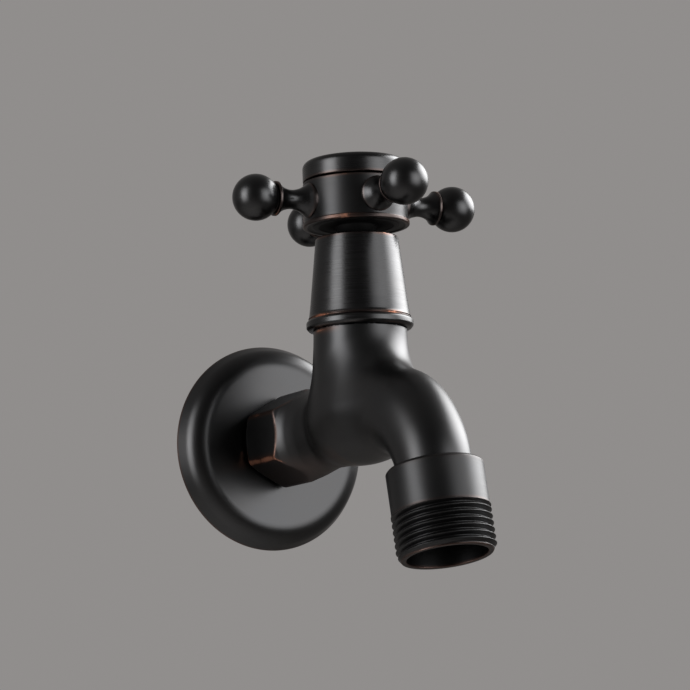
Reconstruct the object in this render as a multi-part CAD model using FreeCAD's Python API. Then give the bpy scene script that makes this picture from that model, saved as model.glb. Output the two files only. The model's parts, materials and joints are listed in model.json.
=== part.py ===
"""Wall-mounted cross-handle hose tap with a ceramic-disc headwork, in millimetres.

The origin is the centre of the inlet on the wall face. The wall face is the plane y = 0, the tap
stands out from it along -Y, and +Z is up. The spindle is vertical and turns the cross handle.
"""
import FreeCAD, Part
import math
import os
from FreeCAD import Vector

# Pipe threads, as major radius, thread depth and pitch
G12_RADIUS = 10.48
G34_RADIUS = 13.22
THREAD_DEPTH = 1.16
THREAD_PITCH = 1.814
CREST_WIDTH = 0.32
ROOT_WIDTH = 0.28

# Fits and gaps
THREAD_CLEARANCE = 0.05
RUNNING_CLEARANCE = 0.05
BODY_GAP = 0.3
DISC_GAP = 0.05
SPLINE_CLEARANCE = 0.06

# Cutters run this far past a face, an oval has this many points, sharp edges are broken by this
# much, and edges this close count as touching
PAST = 1.0
OVAL_POINTS = 16
EDGE_BREAK = 0.2
TOUCHING = 0.001

# An arc of a quarter turn has its middle at this share of its radius
MIDDLE = math.sqrt(0.5)

# Wall flange
FLANGE_RADIUS = 29.9
FLANGE_DEPTH = 8.5
FLANGE_CORNER = 6.3
FLANGE_SHEET = 1.1
FLANGE_DROP = 0.85

# Body: inlet, hexagon and barrel
INLET_THREAD_LENGTH = 14.0
INLET_CREST_START = 1.6
INLET_CREST_COUNT = 7
SPIGOT_RADIUS = 10.3
INLET_BORE_RADIUS = 6.5
HEX_ACROSS_FLATS = 23.5
HEX_LENGTH = 15.6
HEX_TURNED_RADIUS = 13.35
WAIST_HALF_WIDTH = 10.3
WAIST_HALF_HEIGHT = 11.0
WAIST_REACH = 38.5
HEX_RUN_OUT = 7.5
SPIGOT_CHAMFER = 0.8

# Shoulder between the hexagon and the waist, as shares of the way there: along, across and up
SHOULDER = [(0.125, 0.0, 0.2), (0.35, 0.65, 0.47), (0.625, 0.93, 0.75)]

# Body: neck over the valve chamber
SPINDLE_REACH = 55.3
NECK_TOP_RADIUS = 12.9
NECK_BASE_RADIUS = 13.5
NECK_HEIGHT = 25.25
NECK_TAPER_HEIGHT = 9.25
BULB_ROUNDNESS = 0.72
BULB_TOP = 3.0
BULB_BOTTOM = -9.8
CHAMBER_RADIUS = 10.0
CHAMBER_TOP = 14.5
SEAT_HEIGHT = 3.0
SEAT_THICKNESS = 3.5
SEAT_HOLE_RADIUS = 4.7
POCKET_RADIUS = 5.4
POCKET_FLOOR = -9.0
LOWER_PASSAGE_RADIUS = 4.3
UPPER_PASSAGE_RADIUS = 3.6
UPPER_PASSAGE_HEIGHT = 5.0
UPPER_PASSAGE_LENGTH = 15.0
JOINT_FILLET = 6.0

# Body: spout
OUTLET_REACH = 95.95
OUTLET_DROP = 40.52
OUTLET_TILT = 11.5
SPOUT_BEND_RADIUS = 20.3
SPOUT_RADIUS = 11.1
SPOUT_END_RADIUS = 10.1
SPOUT_TAPER_POWER = 1.6
BEND_STATIONS = 7
RUN_LENGTH = 12.0
RUN_HALF_WIDTH = 10.9
SPOUT_BORE_RADIUS = 6.8
SPOUT_BORE_WALL = 3.6
SPOUT_THREAD_RADIUS = 10.0
SPOUT_THREAD_LENGTH = 11.9

# Outlet adaptor
ADAPTOR_LENGTH = 24.4
COLLAR_LENGTH = 12.2
COLLAR_RADIUS = 13.0
COLLAR_CHAMFER = 0.7
OUTLET_CREST_START = 1.8
OUTLET_CREST_COUNT = 6
OUTLET_BORE_RADIUS = 10.8
OUTLET_BORE_DEPTH = 7.5
THROAT_RADIUS = 7.4
SHELF_THICKNESS = 1.8
OUTLET_WASHER_THICKNESS = 1.5

# Ceramic discs and the seal under them
SEAL_HEIGHT = 3.0
SEAL_INNER_RADIUS = 5.4
SUPPORT_WALL = 0.6
SUPPORT_HEIGHT = 2.4
DISC_THICKNESS = 2.3
DISC_RADIUS = 7.45
MOVING_DISC_INSET = 0.1
DISC_SLOT_INNER = 1.8
DISC_SLOT_OUTER = 4.5
DISC_SLOT_ANGLE = 76.0

# Spindle
SPINDLE_RADIUS = 5.15
SPINDLE_FLANGE_RADIUS = 7.2
SPINDLE_FLANGE_HEIGHT = 1.8
FORK_THICKNESS = 2.2
FORK_LENGTH = 2.15
FORK_DEPTH = 1.0
FORK_INSET = 0.25
FRICTION_WASHER_THICKNESS = 0.6
ORING_WIRE = 1.05
ORING_GROOVE_WIDTH = 1.6
ORING_LOWER_HEIGHT = 5.0
ORING_UPPER_HEIGHT = 12.0
CIRCLIP_THICKNESS = 0.9
CIRCLIP_RADIUS = 6.9
CIRCLIP_GROOVE_RADIUS = 4.4
CIRCLIP_OPENING = 3.6
SHANK_OVER_CLIP = 1.5
SPLINE_RADIUS = 4.0
SPLINE_ROOT_RADIUS = 3.6
SPLINE_TOOTH_COUNT = 20

# Headwork
HEADWORK_HEX = 21.0
HEADWORK_HEX_HEIGHT = 5.0
HEADWORK_THREAD_DEPTH = 0.5
HEADWORK_RELIEF = 1.5
GASKET_THICKNESS = 1.0
GASKET_RADIUS = 12.1
SLEEVE_RADIUS = 8.8
SLEEVE_CLEARANCE = 0.15
SLEEVE_OVERLAP = 0.2
STEM_BARREL_RADIUS = 8.0
STEM_BARREL_HEIGHT = 14.25
WINDOW_HEIGHT = 2.8
WINDOW_WIDTH = 8.0
WINDOW_ABOVE_DISC = 0.2

# Bonnet sleeve, with heights over the neck
BONNET_HEIGHT = 25.6
BONNET_TOP_RADIUS = 11.45
BONNET_FOOT_RADIUS = 13.45
BONNET_FOOT_HEIGHT = 7.35
BEAD_INSET = 0.05
BEAD_HEIGHT = 1.55
BEAD_HALF_WIDTH = 1.3
BEAD_PROUD = 0.6
BEAD_GROOVE = 0.5
FOOT_FLARE = 1.0
BONNET_BORE_RADIUS = 12.5
BORE_TAPER = 1.5
BONNET_WALL = 1.25
WEB_HEIGHT = 10.25
WEB_THICKNESS = 3.5
GUIDE_RING_HEIGHT = 3.5
GUIDE_RING_WALL = 0.7
GUIDE_RING_SUNK = 0.4
GUIDE_SHOULDER = 0.6

# Handle hub, with its heights over the underside of the skirt
SKIRT_OVER_BONNET = 3.25
HANDLE_REST_ANGLE = -4.0
DRUM_RADIUS = 14.4
DRUM_HEIGHT = 12.45
SKIRT_PROUD = 0.4
SKIRT_THICKNESS = 1.15
RECESS_RADIUS = 13.2
RECESS_DEPTH = 1.6
BOSS_DEPTH = 5.6
HUB_FLOOR_HEIGHT = 3.1
HUB_FLOOR_THICKNESS = 1.4
SCREW_POCKET_RADIUS = 5.6
CAP_SOCKET_RADIUS = 9.3
CAP_SOCKET_DEPTH = 3.55

# Handle screw and washer
SCREW_RADIUS = 2.0
SCREW_LENGTH = 9.0
SCREW_CLEARANCE = 0.3
SCREW_HEAD_RADIUS = 4.2
SCREW_HEAD_HEIGHT = 2.6
SCREW_SOCKET = 4.0
SCREW_SOCKET_DEPTH = 1.6
SCREW_WASHER_THICKNESS = 0.8
SCREW_WASHER_RADIUS = 5.0

# Handle cap, over the drum
CAP_HEIGHT = 6.1
CAP_GROOVE = 0.45
CAP_GROOVE_DEPTH = 0.75
CAP_ROUND = 2.0
CAP_TOP_THICKNESS = 2.65
CAP_HOLLOW_RADIUS = 7.0
CAP_ORING_WIRE = 1.3
CAP_ORING_GROOVE = 1.5
CAP_ORING_DEPTH = 1.65

# Handle arms, as distances from the spindle axis or past the drum
ARM_BALL_REACH = 30.15
ARM_BALL_RADIUS = 6.42
ARM_BALL_FOOT_RADIUS = 3.7
ARM_DISC_RADIUS = 4.8
ARM_DISC_THICKNESS = 0.75
ARM_DISC_STEP = 0.13
ARM_FLARE_LENGTH = 2.2
ARM_FLARE_RISE = 0.5
ARM_FLARE_STEP = 0.75
ARM_NECK_RADIUS = 2.6
ARM_TRUMPET_LENGTH = 4.0
ARM_TRUMPET_RISE = 0.75
ARM_BASE_RADIUS = 4.9
ARM_BASE_LENGTH = 0.3
ARM_BASE_INSET = 1.0
ARM_STUD_RADIUS = 2.3
ARM_STUD_INNER = 9.9
ARM_OVER_SKIRT = 6.7

# Heights and places that follow from the sizes above, from the seat up
FIXED_DISC_BOTTOM = SEAT_HEIGHT + SEAL_HEIGHT
MOVING_DISC_BOTTOM = FIXED_DISC_BOTTOM + DISC_THICKNESS + DISC_GAP
MOVING_DISC_TOP = MOVING_DISC_BOTTOM + DISC_THICKNESS
SPINDLE_FLANGE_BOTTOM = MOVING_DISC_TOP + FORK_LENGTH
SPINDLE_FLANGE_TOP = SPINDLE_FLANGE_BOTTOM + SPINDLE_FLANGE_HEIGHT
FRICTION_WASHER_BOTTOM = SPINDLE_FLANGE_TOP + BODY_GAP
SLEEVE_SHOULDER = FRICTION_WASHER_BOTTOM + FRICTION_WASHER_THICKNESS
ORING_LOWER = SLEEVE_SHOULDER + ORING_LOWER_HEIGHT
ORING_UPPER = SLEEVE_SHOULDER + ORING_UPPER_HEIGHT
WINDOW_BOTTOM = MOVING_DISC_TOP + WINDOW_ABOVE_DISC
SLEEVE_BORE_RADIUS = DISC_RADIUS + SLEEVE_CLEARANCE
STEM_BORE_RADIUS = SPINDLE_RADIUS + RUNNING_CLEARANCE
HEADWORK_SEAT = NECK_HEIGHT + GASKET_THICKNESS
STEM_BARREL_TOP = HEADWORK_SEAT + STEM_BARREL_HEIGHT
CIRCLIP_BOTTOM = STEM_BARREL_TOP + BODY_GAP
CIRCLIP_TOP = CIRCLIP_BOTTOM + CIRCLIP_THICKNESS
WEB_BOTTOM = NECK_HEIGHT + WEB_HEIGHT
WEB_TOP = WEB_BOTTOM + WEB_THICKNESS
BONNET_TOP = NECK_HEIGHT + BONNET_HEIGHT
GUIDE_BORE_RADIUS = BONNET_TOP_RADIUS - BONNET_WALL
GUIDE_RING_BOTTOM = BONNET_TOP - GUIDE_RING_SUNK - GUIDE_RING_HEIGHT
BOSS_RADIUS = GUIDE_BORE_RADIUS - GUIDE_RING_WALL - RUNNING_CLEARANCE
SKIRT_BOTTOM = BONNET_TOP + SKIRT_OVER_BONNET
SKIRT_RADIUS = DRUM_RADIUS + SKIRT_PROUD
BEAD_RADIUS = SKIRT_RADIUS - BEAD_INSET
HUB_FLOOR = SKIRT_BOTTOM + HUB_FLOOR_HEIGHT
SCREW_SEAT = HUB_FLOOR + HUB_FLOOR_THICKNESS
ARM_HEIGHT = SKIRT_BOTTOM + ARM_OVER_SKIRT
DRUM_TOP = SKIRT_BOTTOM + DRUM_HEIGHT
CAP_TOP = DRUM_TOP + CAP_HEIGHT
CAP_SOCKET_FLOOR = DRUM_TOP - CAP_SOCKET_DEPTH
CAP_SPIGOT_BOTTOM = CAP_SOCKET_FLOOR + BODY_GAP
CAP_ORING_HEIGHT = DRUM_TOP - CAP_ORING_DEPTH
ARM_NAMES = ("arm_right", "arm_back", "arm_left", "arm_front")
ARM_TURNS = {name: HANDLE_REST_ANGLE + 90 * i for i, name in enumerate(ARM_NAMES)}
HEX_START = FLANGE_DEPTH
HEX_END = HEX_START + HEX_LENGTH
SPOUT_THREAD_END = ADAPTOR_LENGTH - SPOUT_THREAD_LENGTH
TILT = math.radians(OUTLET_TILT)
BEND_ANGLE = 90 - OUTLET_TILT

UP = Vector(0, 0, 1)
OUTLET_UP = Vector(0, math.sin(TILT), math.cos(TILT))
OUTLET_CENTRE = Vector(0, -OUTLET_REACH, -OUTLET_DROP)
SPINDLE_FOOT = Vector(0, -SPINDLE_REACH, 0)


def outline(points):
    """Closed wire in the XZ plane of points (r, h), or (r, h, rm, hm) for an arc through (rm, hm)."""
    edges = []
    last = points[0]
    for point in list(points[1:]) + [points[0][:2]]:
        start = Vector(last[0], 0, last[1])
        end = Vector(point[0], 0, point[1])
        if len(point) == 4:
            edges.append(Part.Arc(start, Vector(point[2], 0, point[3]), end).toShape())
        else:
            edges.append(Part.LineSegment(start, end).toShape())
        last = point
    return Part.Wire(edges)


def turned(points):
    """Solid of revolution about Z from an outline of radii and heights."""
    return Part.Face(outline(points)).revolve(Vector(0, 0, 0), UP, 360)


def aimed(shape, origin, tilt):
    """The shape tilted about X, in degrees, and moved from the origin to a point."""
    moved = shape.copy()
    moved.rotate(Vector(0, 0, 0), Vector(1, 0, 0), tilt)
    moved.translate(origin)
    return moved


def on_spindle(shape):
    return aimed(shape, SPINDLE_FOOT, 0)


def on_outlet(shape):
    """Puts a shape whose Z is the height above the outlet's end face on the outlet's axis."""
    return aimed(shape, OUTLET_CENTRE, -OUTLET_TILT)


def from_wall(shape):
    """Puts a shape whose Z is the distance from the wall on the inlet's axis."""
    return aimed(shape, Vector(0, 0, 0), 90)


def ring(outer, inner, bottom, top):
    return turned([(inner, bottom), (outer, bottom), (outer, top), (inner, top)])


def rod(radius, bottom, top):
    return Part.makeCylinder(radius, top - bottom, Vector(0, 0, bottom), UP)


def prism(points, bottom, top):
    corners = [Vector(x, y, bottom) for x, y in points]
    return Part.Face(Part.makePolygon(corners + corners[:1])).extrude(Vector(0, 0, top - bottom))


def hexagon(across_flats, bottom, top, turn=0.0):
    corner = across_flats / math.sqrt(3)
    angles = [math.radians(turn + 60 * i) for i in range(6)]
    return prism([(corner * math.cos(a), corner * math.sin(a)) for a in angles], bottom, top)


def torus(wire, centre_radius, height):
    return Part.makeTorus(centre_radius, wire / 2, Vector(0, 0, height), UP)


def thread_points(radius, first_crest, crests):
    """Outline points of thread grooves, up the outside from below the first crest to above the last."""
    root = radius - THREAD_DEPTH
    flank = (THREAD_PITCH - CREST_WIDTH - ROOT_WIDTH) / 2
    points = []
    for i in range(crests):
        middle = first_crest + i * THREAD_PITCH
        points.append((root, middle - CREST_WIDTH / 2 - flank))
        points.append((radius, middle - CREST_WIDTH / 2))
        points.append((radius, middle + CREST_WIDTH / 2))
        points.append((root, middle + CREST_WIDTH / 2 + flank))
    return points


def oval(centre, normal, half_width, half_height):
    """Closed wire round a centre in the YZ plane of symmetry, square to the given direction."""
    upward = Vector(1, 0, 0).cross(normal).normalize()
    points = []
    for i in range(OVAL_POINTS):
        a = 2 * math.pi * i / OVAL_POINTS
        across = Vector(half_width * math.cos(a), 0, 0)
        points.append(centre + across + upward * (half_height * math.sin(a)))
    curve = Part.BSplineCurve()
    curve.interpolate(Points=points, PeriodicFlag=True)
    return Part.Wire([curve.toShape()])


def bend_centre():
    """Centre of the spout's bend, on the plane of the collar's upper face."""
    end = OUTLET_CENTRE + OUTLET_UP * ADAPTOR_LENGTH
    return end + Vector(0, math.cos(TILT), -math.sin(TILT)) * SPOUT_BEND_RADIUS


def between(start, end, share):
    return start + (end - start) * share


def tube_stations():
    """Centre, direction, half width and half height of the barrel and spout, from hexagon to collar."""
    centre = bend_centre()
    run_height = centre.z + SPOUT_BEND_RADIUS
    outward = Vector(0, -1, 0)
    full = HEX_TURNED_RADIUS
    stations = [(Vector(0, -HEX_END, 0), outward, full, full)]
    for share, width_share, height_share in SHOULDER:
        reach = between(HEX_END, WAIST_REACH, share)
        half_width = between(HEX_ACROSS_FLATS / 2, WAIST_HALF_WIDTH, width_share)
        half_height = between(full, WAIST_HALF_HEIGHT, height_share)
        stations.append((Vector(0, -reach, 0), outward, half_width, half_height))
    stations += [
        (Vector(0, -WAIST_REACH, 0), outward, WAIST_HALF_WIDTH, WAIST_HALF_HEIGHT),
        (Vector(0, RUN_LENGTH / 2 - SPINDLE_REACH, run_height / 2), outward, RUN_HALF_WIDTH, SPOUT_RADIUS),
        (Vector(0, -RUN_LENGTH / 2 - SPINDLE_REACH, run_height), outward, SPOUT_RADIUS, SPOUT_RADIUS),
    ]
    for i in range(BEND_STATIONS):
        share = i / (BEND_STATIONS - 1)
        a = math.radians(BEND_ANGLE) * share
        place = centre + Vector(0, -math.sin(a), math.cos(a)) * SPOUT_BEND_RADIUS
        radius = between(SPOUT_RADIUS, SPOUT_END_RADIUS, share ** SPOUT_TAPER_POWER)
        stations.append((place, Vector(0, -math.cos(a), -math.sin(a)), radius, radius))
    return stations


def neck_shape():
    """Conical neck with a rounded valve chamber below it."""
    side = NECK_BASE_RADIUS * BULB_ROUNDNESS
    depth = (BULB_TOP - BULB_BOTTOM) * BULB_ROUNDNESS
    return on_spindle(turned([
        (0, NECK_HEIGHT),
        (NECK_TOP_RADIUS, NECK_HEIGHT),
        (NECK_BASE_RADIUS, NECK_HEIGHT - NECK_TAPER_HEIGHT),
        (NECK_BASE_RADIUS, BULB_TOP),
        (0, BULB_BOTTOM, side, BULB_TOP - depth),
    ]))


def lies_on(edge, shape):
    middle = edge.valueAt((edge.FirstParameter + edge.LastParameter) / 2)
    return shape.distToShape(Part.Vertex(middle))[0] < TOUCHING


def casting_shape():
    """Barrel, neck and spout in one, with a fillet where the neck stands on the tube."""
    tube = Part.makeLoft([oval(*station) for station in tube_stations()], True)
    neck = neck_shape()
    joined = tube.fuse(neck)
    loop = []
    for edge in joined.Edges:
        box = edge.BoundBox
        beside_neck = box.YMin > -SPINDLE_REACH - 2 * NECK_BASE_RADIUS and box.YMax < -WAIST_REACH
        curved = edge.Curve.TypeId == "Part::GeomBSplineCurve"
        if beside_neck and curved and lies_on(edge, tube) and lies_on(edge, neck):
            loop.append(edge)
    return joined.makeFillet(JOINT_FILLET, loop)


def flats_cutter():
    """Everything outside the hexagon's six flats, as far as the shoulder reaches past them."""
    start = HEX_START - PAST
    end = HEX_END + HEX_RUN_OUT
    corner_up = 30
    flats = hexagon(HEX_ACROSS_FLATS, start, end, corner_up)
    return from_wall(rod(2 * HEX_TURNED_RADIUS, start, end).cut(flats))


def inlet_spigot():
    """Threaded pipe end that goes through the flange and into the wall."""
    root = G12_RADIUS - THREAD_DEPTH
    points = [(0, HEX_START + PAST), (0, -INLET_THREAD_LENGTH), (root, -INLET_THREAD_LENGTH)]
    points += thread_points(G12_RADIUS, INLET_CREST_START - INLET_THREAD_LENGTH, INLET_CREST_COUNT)
    points += [(root, -SPIGOT_CHAMFER), (SPIGOT_RADIUS, 0), (SPIGOT_RADIUS, HEX_START + PAST)]
    return from_wall(turned(points))


def body_bores():
    """Inlet, seat, valve chamber and spout waterways, as one solid to cut away."""
    inlet = from_wall(rod(INLET_BORE_RADIUS, -INLET_THREAD_LENGTH - PAST, WAIST_REACH))
    lower = from_wall(rod(LOWER_PASSAGE_RADIUS, WAIST_REACH - LOWER_PASSAGE_RADIUS, SPINDLE_REACH))
    lower.translate(Vector(0, 0, POCKET_FLOOR + LOWER_PASSAGE_RADIUS))
    upper = from_wall(rod(UPPER_PASSAGE_RADIUS, SPINDLE_REACH, SPINDLE_REACH + UPPER_PASSAGE_LENGTH))
    upper.translate(Vector(0, 0, UPPER_PASSAGE_HEIGHT))
    pocket = on_spindle(rod(POCKET_RADIUS, POCKET_FLOOR, SEAT_HEIGHT - SEAT_THICKNESS))
    seat_hole = on_spindle(rod(SEAT_HOLE_RADIUS, POCKET_FLOOR, SEAT_HEIGHT + PAST))
    chamber = on_spindle(rod(CHAMBER_RADIUS, SEAT_HEIGHT, CHAMBER_TOP + PAST))
    socket = on_spindle(rod(G12_RADIUS + THREAD_CLEARANCE, CHAMBER_TOP, NECK_HEIGHT + PAST))
    cut = inlet
    for shape in (lower, pocket, seat_hole, chamber, socket, upper, spout_bore()):
        cut = cut.fuse(shape)
    return cut


def spout_bore():
    """Straight bore in front of the chamber, then round the bend and out through the threaded end."""
    centre = bend_centre()
    bend_start = centre + Vector(0, 0, SPOUT_BEND_RADIUS)
    bore_start = SPINDLE_REACH + POCKET_RADIUS + SPOUT_BORE_WALL
    straight = from_wall(rod(SPOUT_BORE_RADIUS, bore_start, -bend_start.y))
    straight.translate(Vector(0, 0, bend_start.z))
    circle = Part.Circle(bend_start, Vector(0, -1, 0), SPOUT_BORE_RADIUS)
    bend = Part.Face(Part.Wire([circle.toShape()])).revolve(centre, Vector(1, 0, 0), BEND_ANGLE)
    outlet = on_outlet(rod(SPOUT_BORE_RADIUS, SPOUT_THREAD_END - PAST, ADAPTOR_LENGTH))
    return straight.fuse(bend).fuse(outlet)


def body():
    stock = Part.Face(oval(*tube_stations()[0])).extrude(Vector(0, HEX_LENGTH, 0))
    casting = casting_shape().fuse(stock).cut(flats_cutter())
    spout_end = on_outlet(rod(SPOUT_THREAD_RADIUS, SPOUT_THREAD_END, ADAPTOR_LENGTH + PAST))
    return casting.fuse(inlet_spigot()).fuse(spout_end).cut(body_bores())


def wall_flange():
    """Pressed cover ring, hollow behind, that hangs a little low on the inlet spigot."""
    hole = SPIGOT_RADIUS + FLANGE_DROP
    rim = FLANGE_RADIUS
    inner_rim = rim - FLANGE_SHEET
    front = FLANGE_DEPTH
    back = front - FLANGE_SHEET
    centre = rim - FLANGE_CORNER
    level = front - FLANGE_CORNER
    outer_middle = FLANGE_CORNER * MIDDLE
    inner_middle = (FLANGE_CORNER - FLANGE_SHEET) * MIDDLE
    return aimed(turned([
        (hole, back),
        (hole, front),
        (centre, front),
        (rim, level, centre + outer_middle, level + outer_middle),
        (rim, 0),
        (inner_rim, 0),
        (inner_rim, level),
        (centre, back, centre + inner_middle, level + inner_middle),
    ]), Vector(0, 0, -FLANGE_DROP), 90)


def outlet_adaptor():
    """Collar that screws on the spout, with a male hose thread below."""
    root = G34_RADIUS - THREAD_DEPTH
    socket = SPOUT_THREAD_RADIUS + THREAD_CLEARANCE
    shelf = SPOUT_THREAD_END - OUTLET_WASHER_THICKNESS
    points = [(OUTLET_BORE_RADIUS + EDGE_BREAK, 0), (root, 0)]
    points += thread_points(G34_RADIUS, OUTLET_CREST_START, OUTLET_CREST_COUNT)
    points += [
        (root, ADAPTOR_LENGTH - COLLAR_LENGTH),
        (COLLAR_RADIUS, ADAPTOR_LENGTH - COLLAR_LENGTH),
        (COLLAR_RADIUS, ADAPTOR_LENGTH - COLLAR_CHAMFER),
        (COLLAR_RADIUS - COLLAR_CHAMFER, ADAPTOR_LENGTH),
        (socket, ADAPTOR_LENGTH),
        (socket, shelf),
        (THROAT_RADIUS, shelf),
        (THROAT_RADIUS, shelf - SHELF_THICKNESS),
        (OUTLET_BORE_RADIUS, OUTLET_BORE_DEPTH),
        (OUTLET_BORE_RADIUS, EDGE_BREAK),
    ]
    return on_outlet(turned(points))


def outlet_washer():
    bottom = SPOUT_THREAD_END - OUTLET_WASHER_THICKNESS
    return on_outlet(ring(SPOUT_THREAD_RADIUS, THROAT_RADIUS, bottom, SPOUT_THREAD_END))


def bonnet():
    """Tapered sleeve with a bead at its foot, held on the headwork by an inner web."""
    bead_middle = NECK_HEIGHT + BEAD_HEIGHT
    bead_low = bead_middle - BEAD_HALF_WIDTH
    bead_high = bead_middle + BEAD_HALF_WIDTH
    bead_root = BEAD_RADIUS - BEAD_PROUD
    groove_top = bead_high + BEAD_GROOVE
    flare_top = groove_top + FOOT_FLARE
    foot = NECK_HEIGHT + BONNET_FOOT_HEIGHT
    web_bore = STEM_BARREL_RADIUS + THREAD_CLEARANCE
    return on_spindle(turned([
        (BONNET_BORE_RADIUS, NECK_HEIGHT),
        (NECK_TOP_RADIUS + EDGE_BREAK, NECK_HEIGHT),
        (bead_root - EDGE_BREAK, bead_low - EDGE_BREAK),
        (bead_root, bead_low),
        (bead_root, bead_high, BEAD_RADIUS, bead_middle),
        (bead_root - EDGE_BREAK, bead_high + BEAD_GROOVE / 2),
        (bead_root, groove_top),
        (BONNET_FOOT_RADIUS + FOOT_FLARE / 2, flare_top),
        (BONNET_FOOT_RADIUS, foot, BONNET_FOOT_RADIUS + FOOT_FLARE / 8, flare_top + FOOT_FLARE),
        (BONNET_TOP_RADIUS, BONNET_TOP - EDGE_BREAK),
        (BONNET_TOP_RADIUS - EDGE_BREAK, BONNET_TOP),
        (GUIDE_BORE_RADIUS, BONNET_TOP),
        (GUIDE_BORE_RADIUS, GUIDE_RING_BOTTOM),
        (GUIDE_BORE_RADIUS - GUIDE_SHOULDER, GUIDE_RING_BOTTOM),
        (GUIDE_BORE_RADIUS - GUIDE_SHOULDER, WEB_TOP),
        (web_bore, WEB_TOP),
        (web_bore, WEB_BOTTOM),
        (BONNET_BORE_RADIUS - BORE_TAPER, WEB_BOTTOM),
        (BONNET_BORE_RADIUS, foot),
    ]))


def bonnet_guide_ring():
    outer = GUIDE_BORE_RADIUS
    top = GUIDE_RING_BOTTOM + GUIDE_RING_HEIGHT
    return on_spindle(ring(outer, outer - GUIDE_RING_WALL, GUIDE_RING_BOTTOM, top))


def cartridge_body():
    """Brass headwork: sleeve with side windows, thread, hexagon and stem barrel."""
    root = G12_RADIUS - HEADWORK_THREAD_DEPTH
    sleeve_bottom = FIXED_DISC_BOTTOM - SLEEVE_OVERLAP
    thread_top = NECK_HEIGHT - HEADWORK_RELIEF
    hex_top = HEADWORK_SEAT + HEADWORK_HEX_HEIGHT
    shell = turned([
        (SLEEVE_BORE_RADIUS, sleeve_bottom),
        (SLEEVE_RADIUS, sleeve_bottom),
        (SLEEVE_RADIUS, CHAMBER_TOP),
        (G12_RADIUS, CHAMBER_TOP + HEADWORK_THREAD_DEPTH),
        (G12_RADIUS, thread_top),
        (root, thread_top + HEADWORK_THREAD_DEPTH),
        (root, HEADWORK_SEAT + PAST),
        (STEM_BARREL_RADIUS, HEADWORK_SEAT + PAST),
        (STEM_BARREL_RADIUS, STEM_BARREL_TOP),
        (STEM_BORE_RADIUS, STEM_BARREL_TOP),
        (STEM_BORE_RADIUS, SLEEVE_SHOULDER),
        (SLEEVE_BORE_RADIUS, SLEEVE_SHOULDER),
    ])
    nut = hexagon(HEADWORK_HEX, HEADWORK_SEAT, hex_top).cut(rod(STEM_BORE_RADIUS, HEADWORK_SEAT, hex_top))
    corner = Vector(-G12_RADIUS, -WINDOW_WIDTH / 2, WINDOW_BOTTOM)
    window = Part.makeBox(2 * G12_RADIUS, WINDOW_WIDTH, WINDOW_HEIGHT, corner)
    cross_window = window.copy()
    cross_window.rotate(Vector(0, 0, 0), UP, 90)
    return on_spindle(shell.fuse(nut).cut(window).cut(cross_window))


def cartridge_gasket():
    return on_spindle(ring(GASKET_RADIUS, G12_RADIUS + THREAD_CLEARANCE, NECK_HEIGHT, HEADWORK_SEAT))


def disc_slots(bottom, top, turn):
    """Two opposite sector openings of a ceramic disc."""
    wedges = []
    for i in range(2):
        wedge = Part.makeCylinder(DISC_SLOT_OUTER, top - bottom, Vector(0, 0, bottom), UP, DISC_SLOT_ANGLE)
        wedge.rotate(Vector(0, 0, 0), UP, turn + 180 * i - DISC_SLOT_ANGLE / 2)
        wedges.append(wedge.cut(rod(DISC_SLOT_INNER, bottom, top)))
    return wedges[0].fuse(wedges[1])


def fork_legs(top, clearance):
    """The two legs that drive the moving disc, or their notches with the clearance added."""
    bottom = MOVING_DISC_TOP - FORK_DEPTH - clearance
    outer = DISC_RADIUS - MOVING_DISC_INSET - FORK_INSET + clearance
    inner = DISC_SLOT_OUTER + FORK_INSET - clearance
    thick = FORK_THICKNESS + 2 * clearance
    corner = Vector(-thick / 2, -SPINDLE_FLANGE_RADIUS, bottom)
    bar = Part.makeBox(thick, 2 * SPINDLE_FLANGE_RADIUS, top - bottom, corner)
    return bar.common(ring(outer, inner, bottom, top))


def fixed_disc():
    top = FIXED_DISC_BOTTOM + DISC_THICKNESS
    return on_spindle(rod(DISC_RADIUS, FIXED_DISC_BOTTOM, top).cut(disc_slots(FIXED_DISC_BOTTOM, top, 90)))


def moving_disc():
    plate = rod(DISC_RADIUS - MOVING_DISC_INSET, MOVING_DISC_BOTTOM, MOVING_DISC_TOP)
    plate = plate.cut(disc_slots(MOVING_DISC_BOTTOM, MOVING_DISC_TOP, 0))
    return on_spindle(plate.cut(fork_legs(MOVING_DISC_TOP, RUNNING_CLEARANCE)))


def seat_seal():
    return on_spindle(ring(DISC_RADIUS, SEAL_INNER_RADIUS, SEAT_HEIGHT, FIXED_DISC_BOTTOM))


def seal_support():
    outer = SEAL_INNER_RADIUS
    return on_spindle(ring(outer, outer - SUPPORT_WALL, SEAT_HEIGHT, SEAT_HEIGHT + SUPPORT_HEIGHT))


def friction_washer():
    outer = SPINDLE_FLANGE_RADIUS
    return on_spindle(ring(outer, STEM_BORE_RADIUS, FRICTION_WASHER_BOTTOM, SLEEVE_SHOULDER))


def spline(clearance, bottom, top):
    """Toothed prism, or the toothed hole for it with the clearance added."""
    points = []
    for i in range(2 * SPLINE_TOOTH_COUNT):
        radius = SPLINE_RADIUS if i % 2 == 0 else SPLINE_ROOT_RADIUS
        a = math.pi * i / SPLINE_TOOTH_COUNT
        points.append(((radius + clearance) * math.cos(a), (radius + clearance) * math.sin(a)))
    return prism(points, bottom, top)


def oring_groove(height):
    """Outline points of a groove in the spindle, from its lower to its upper edge."""
    half = ORING_GROOVE_WIDTH / 2
    root = SPINDLE_RADIUS - ORING_WIRE
    return [
        (SPINDLE_RADIUS, height - half),
        (root, height - half),
        (root, height + half),
        (SPINDLE_RADIUS, height + half),
    ]


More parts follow.
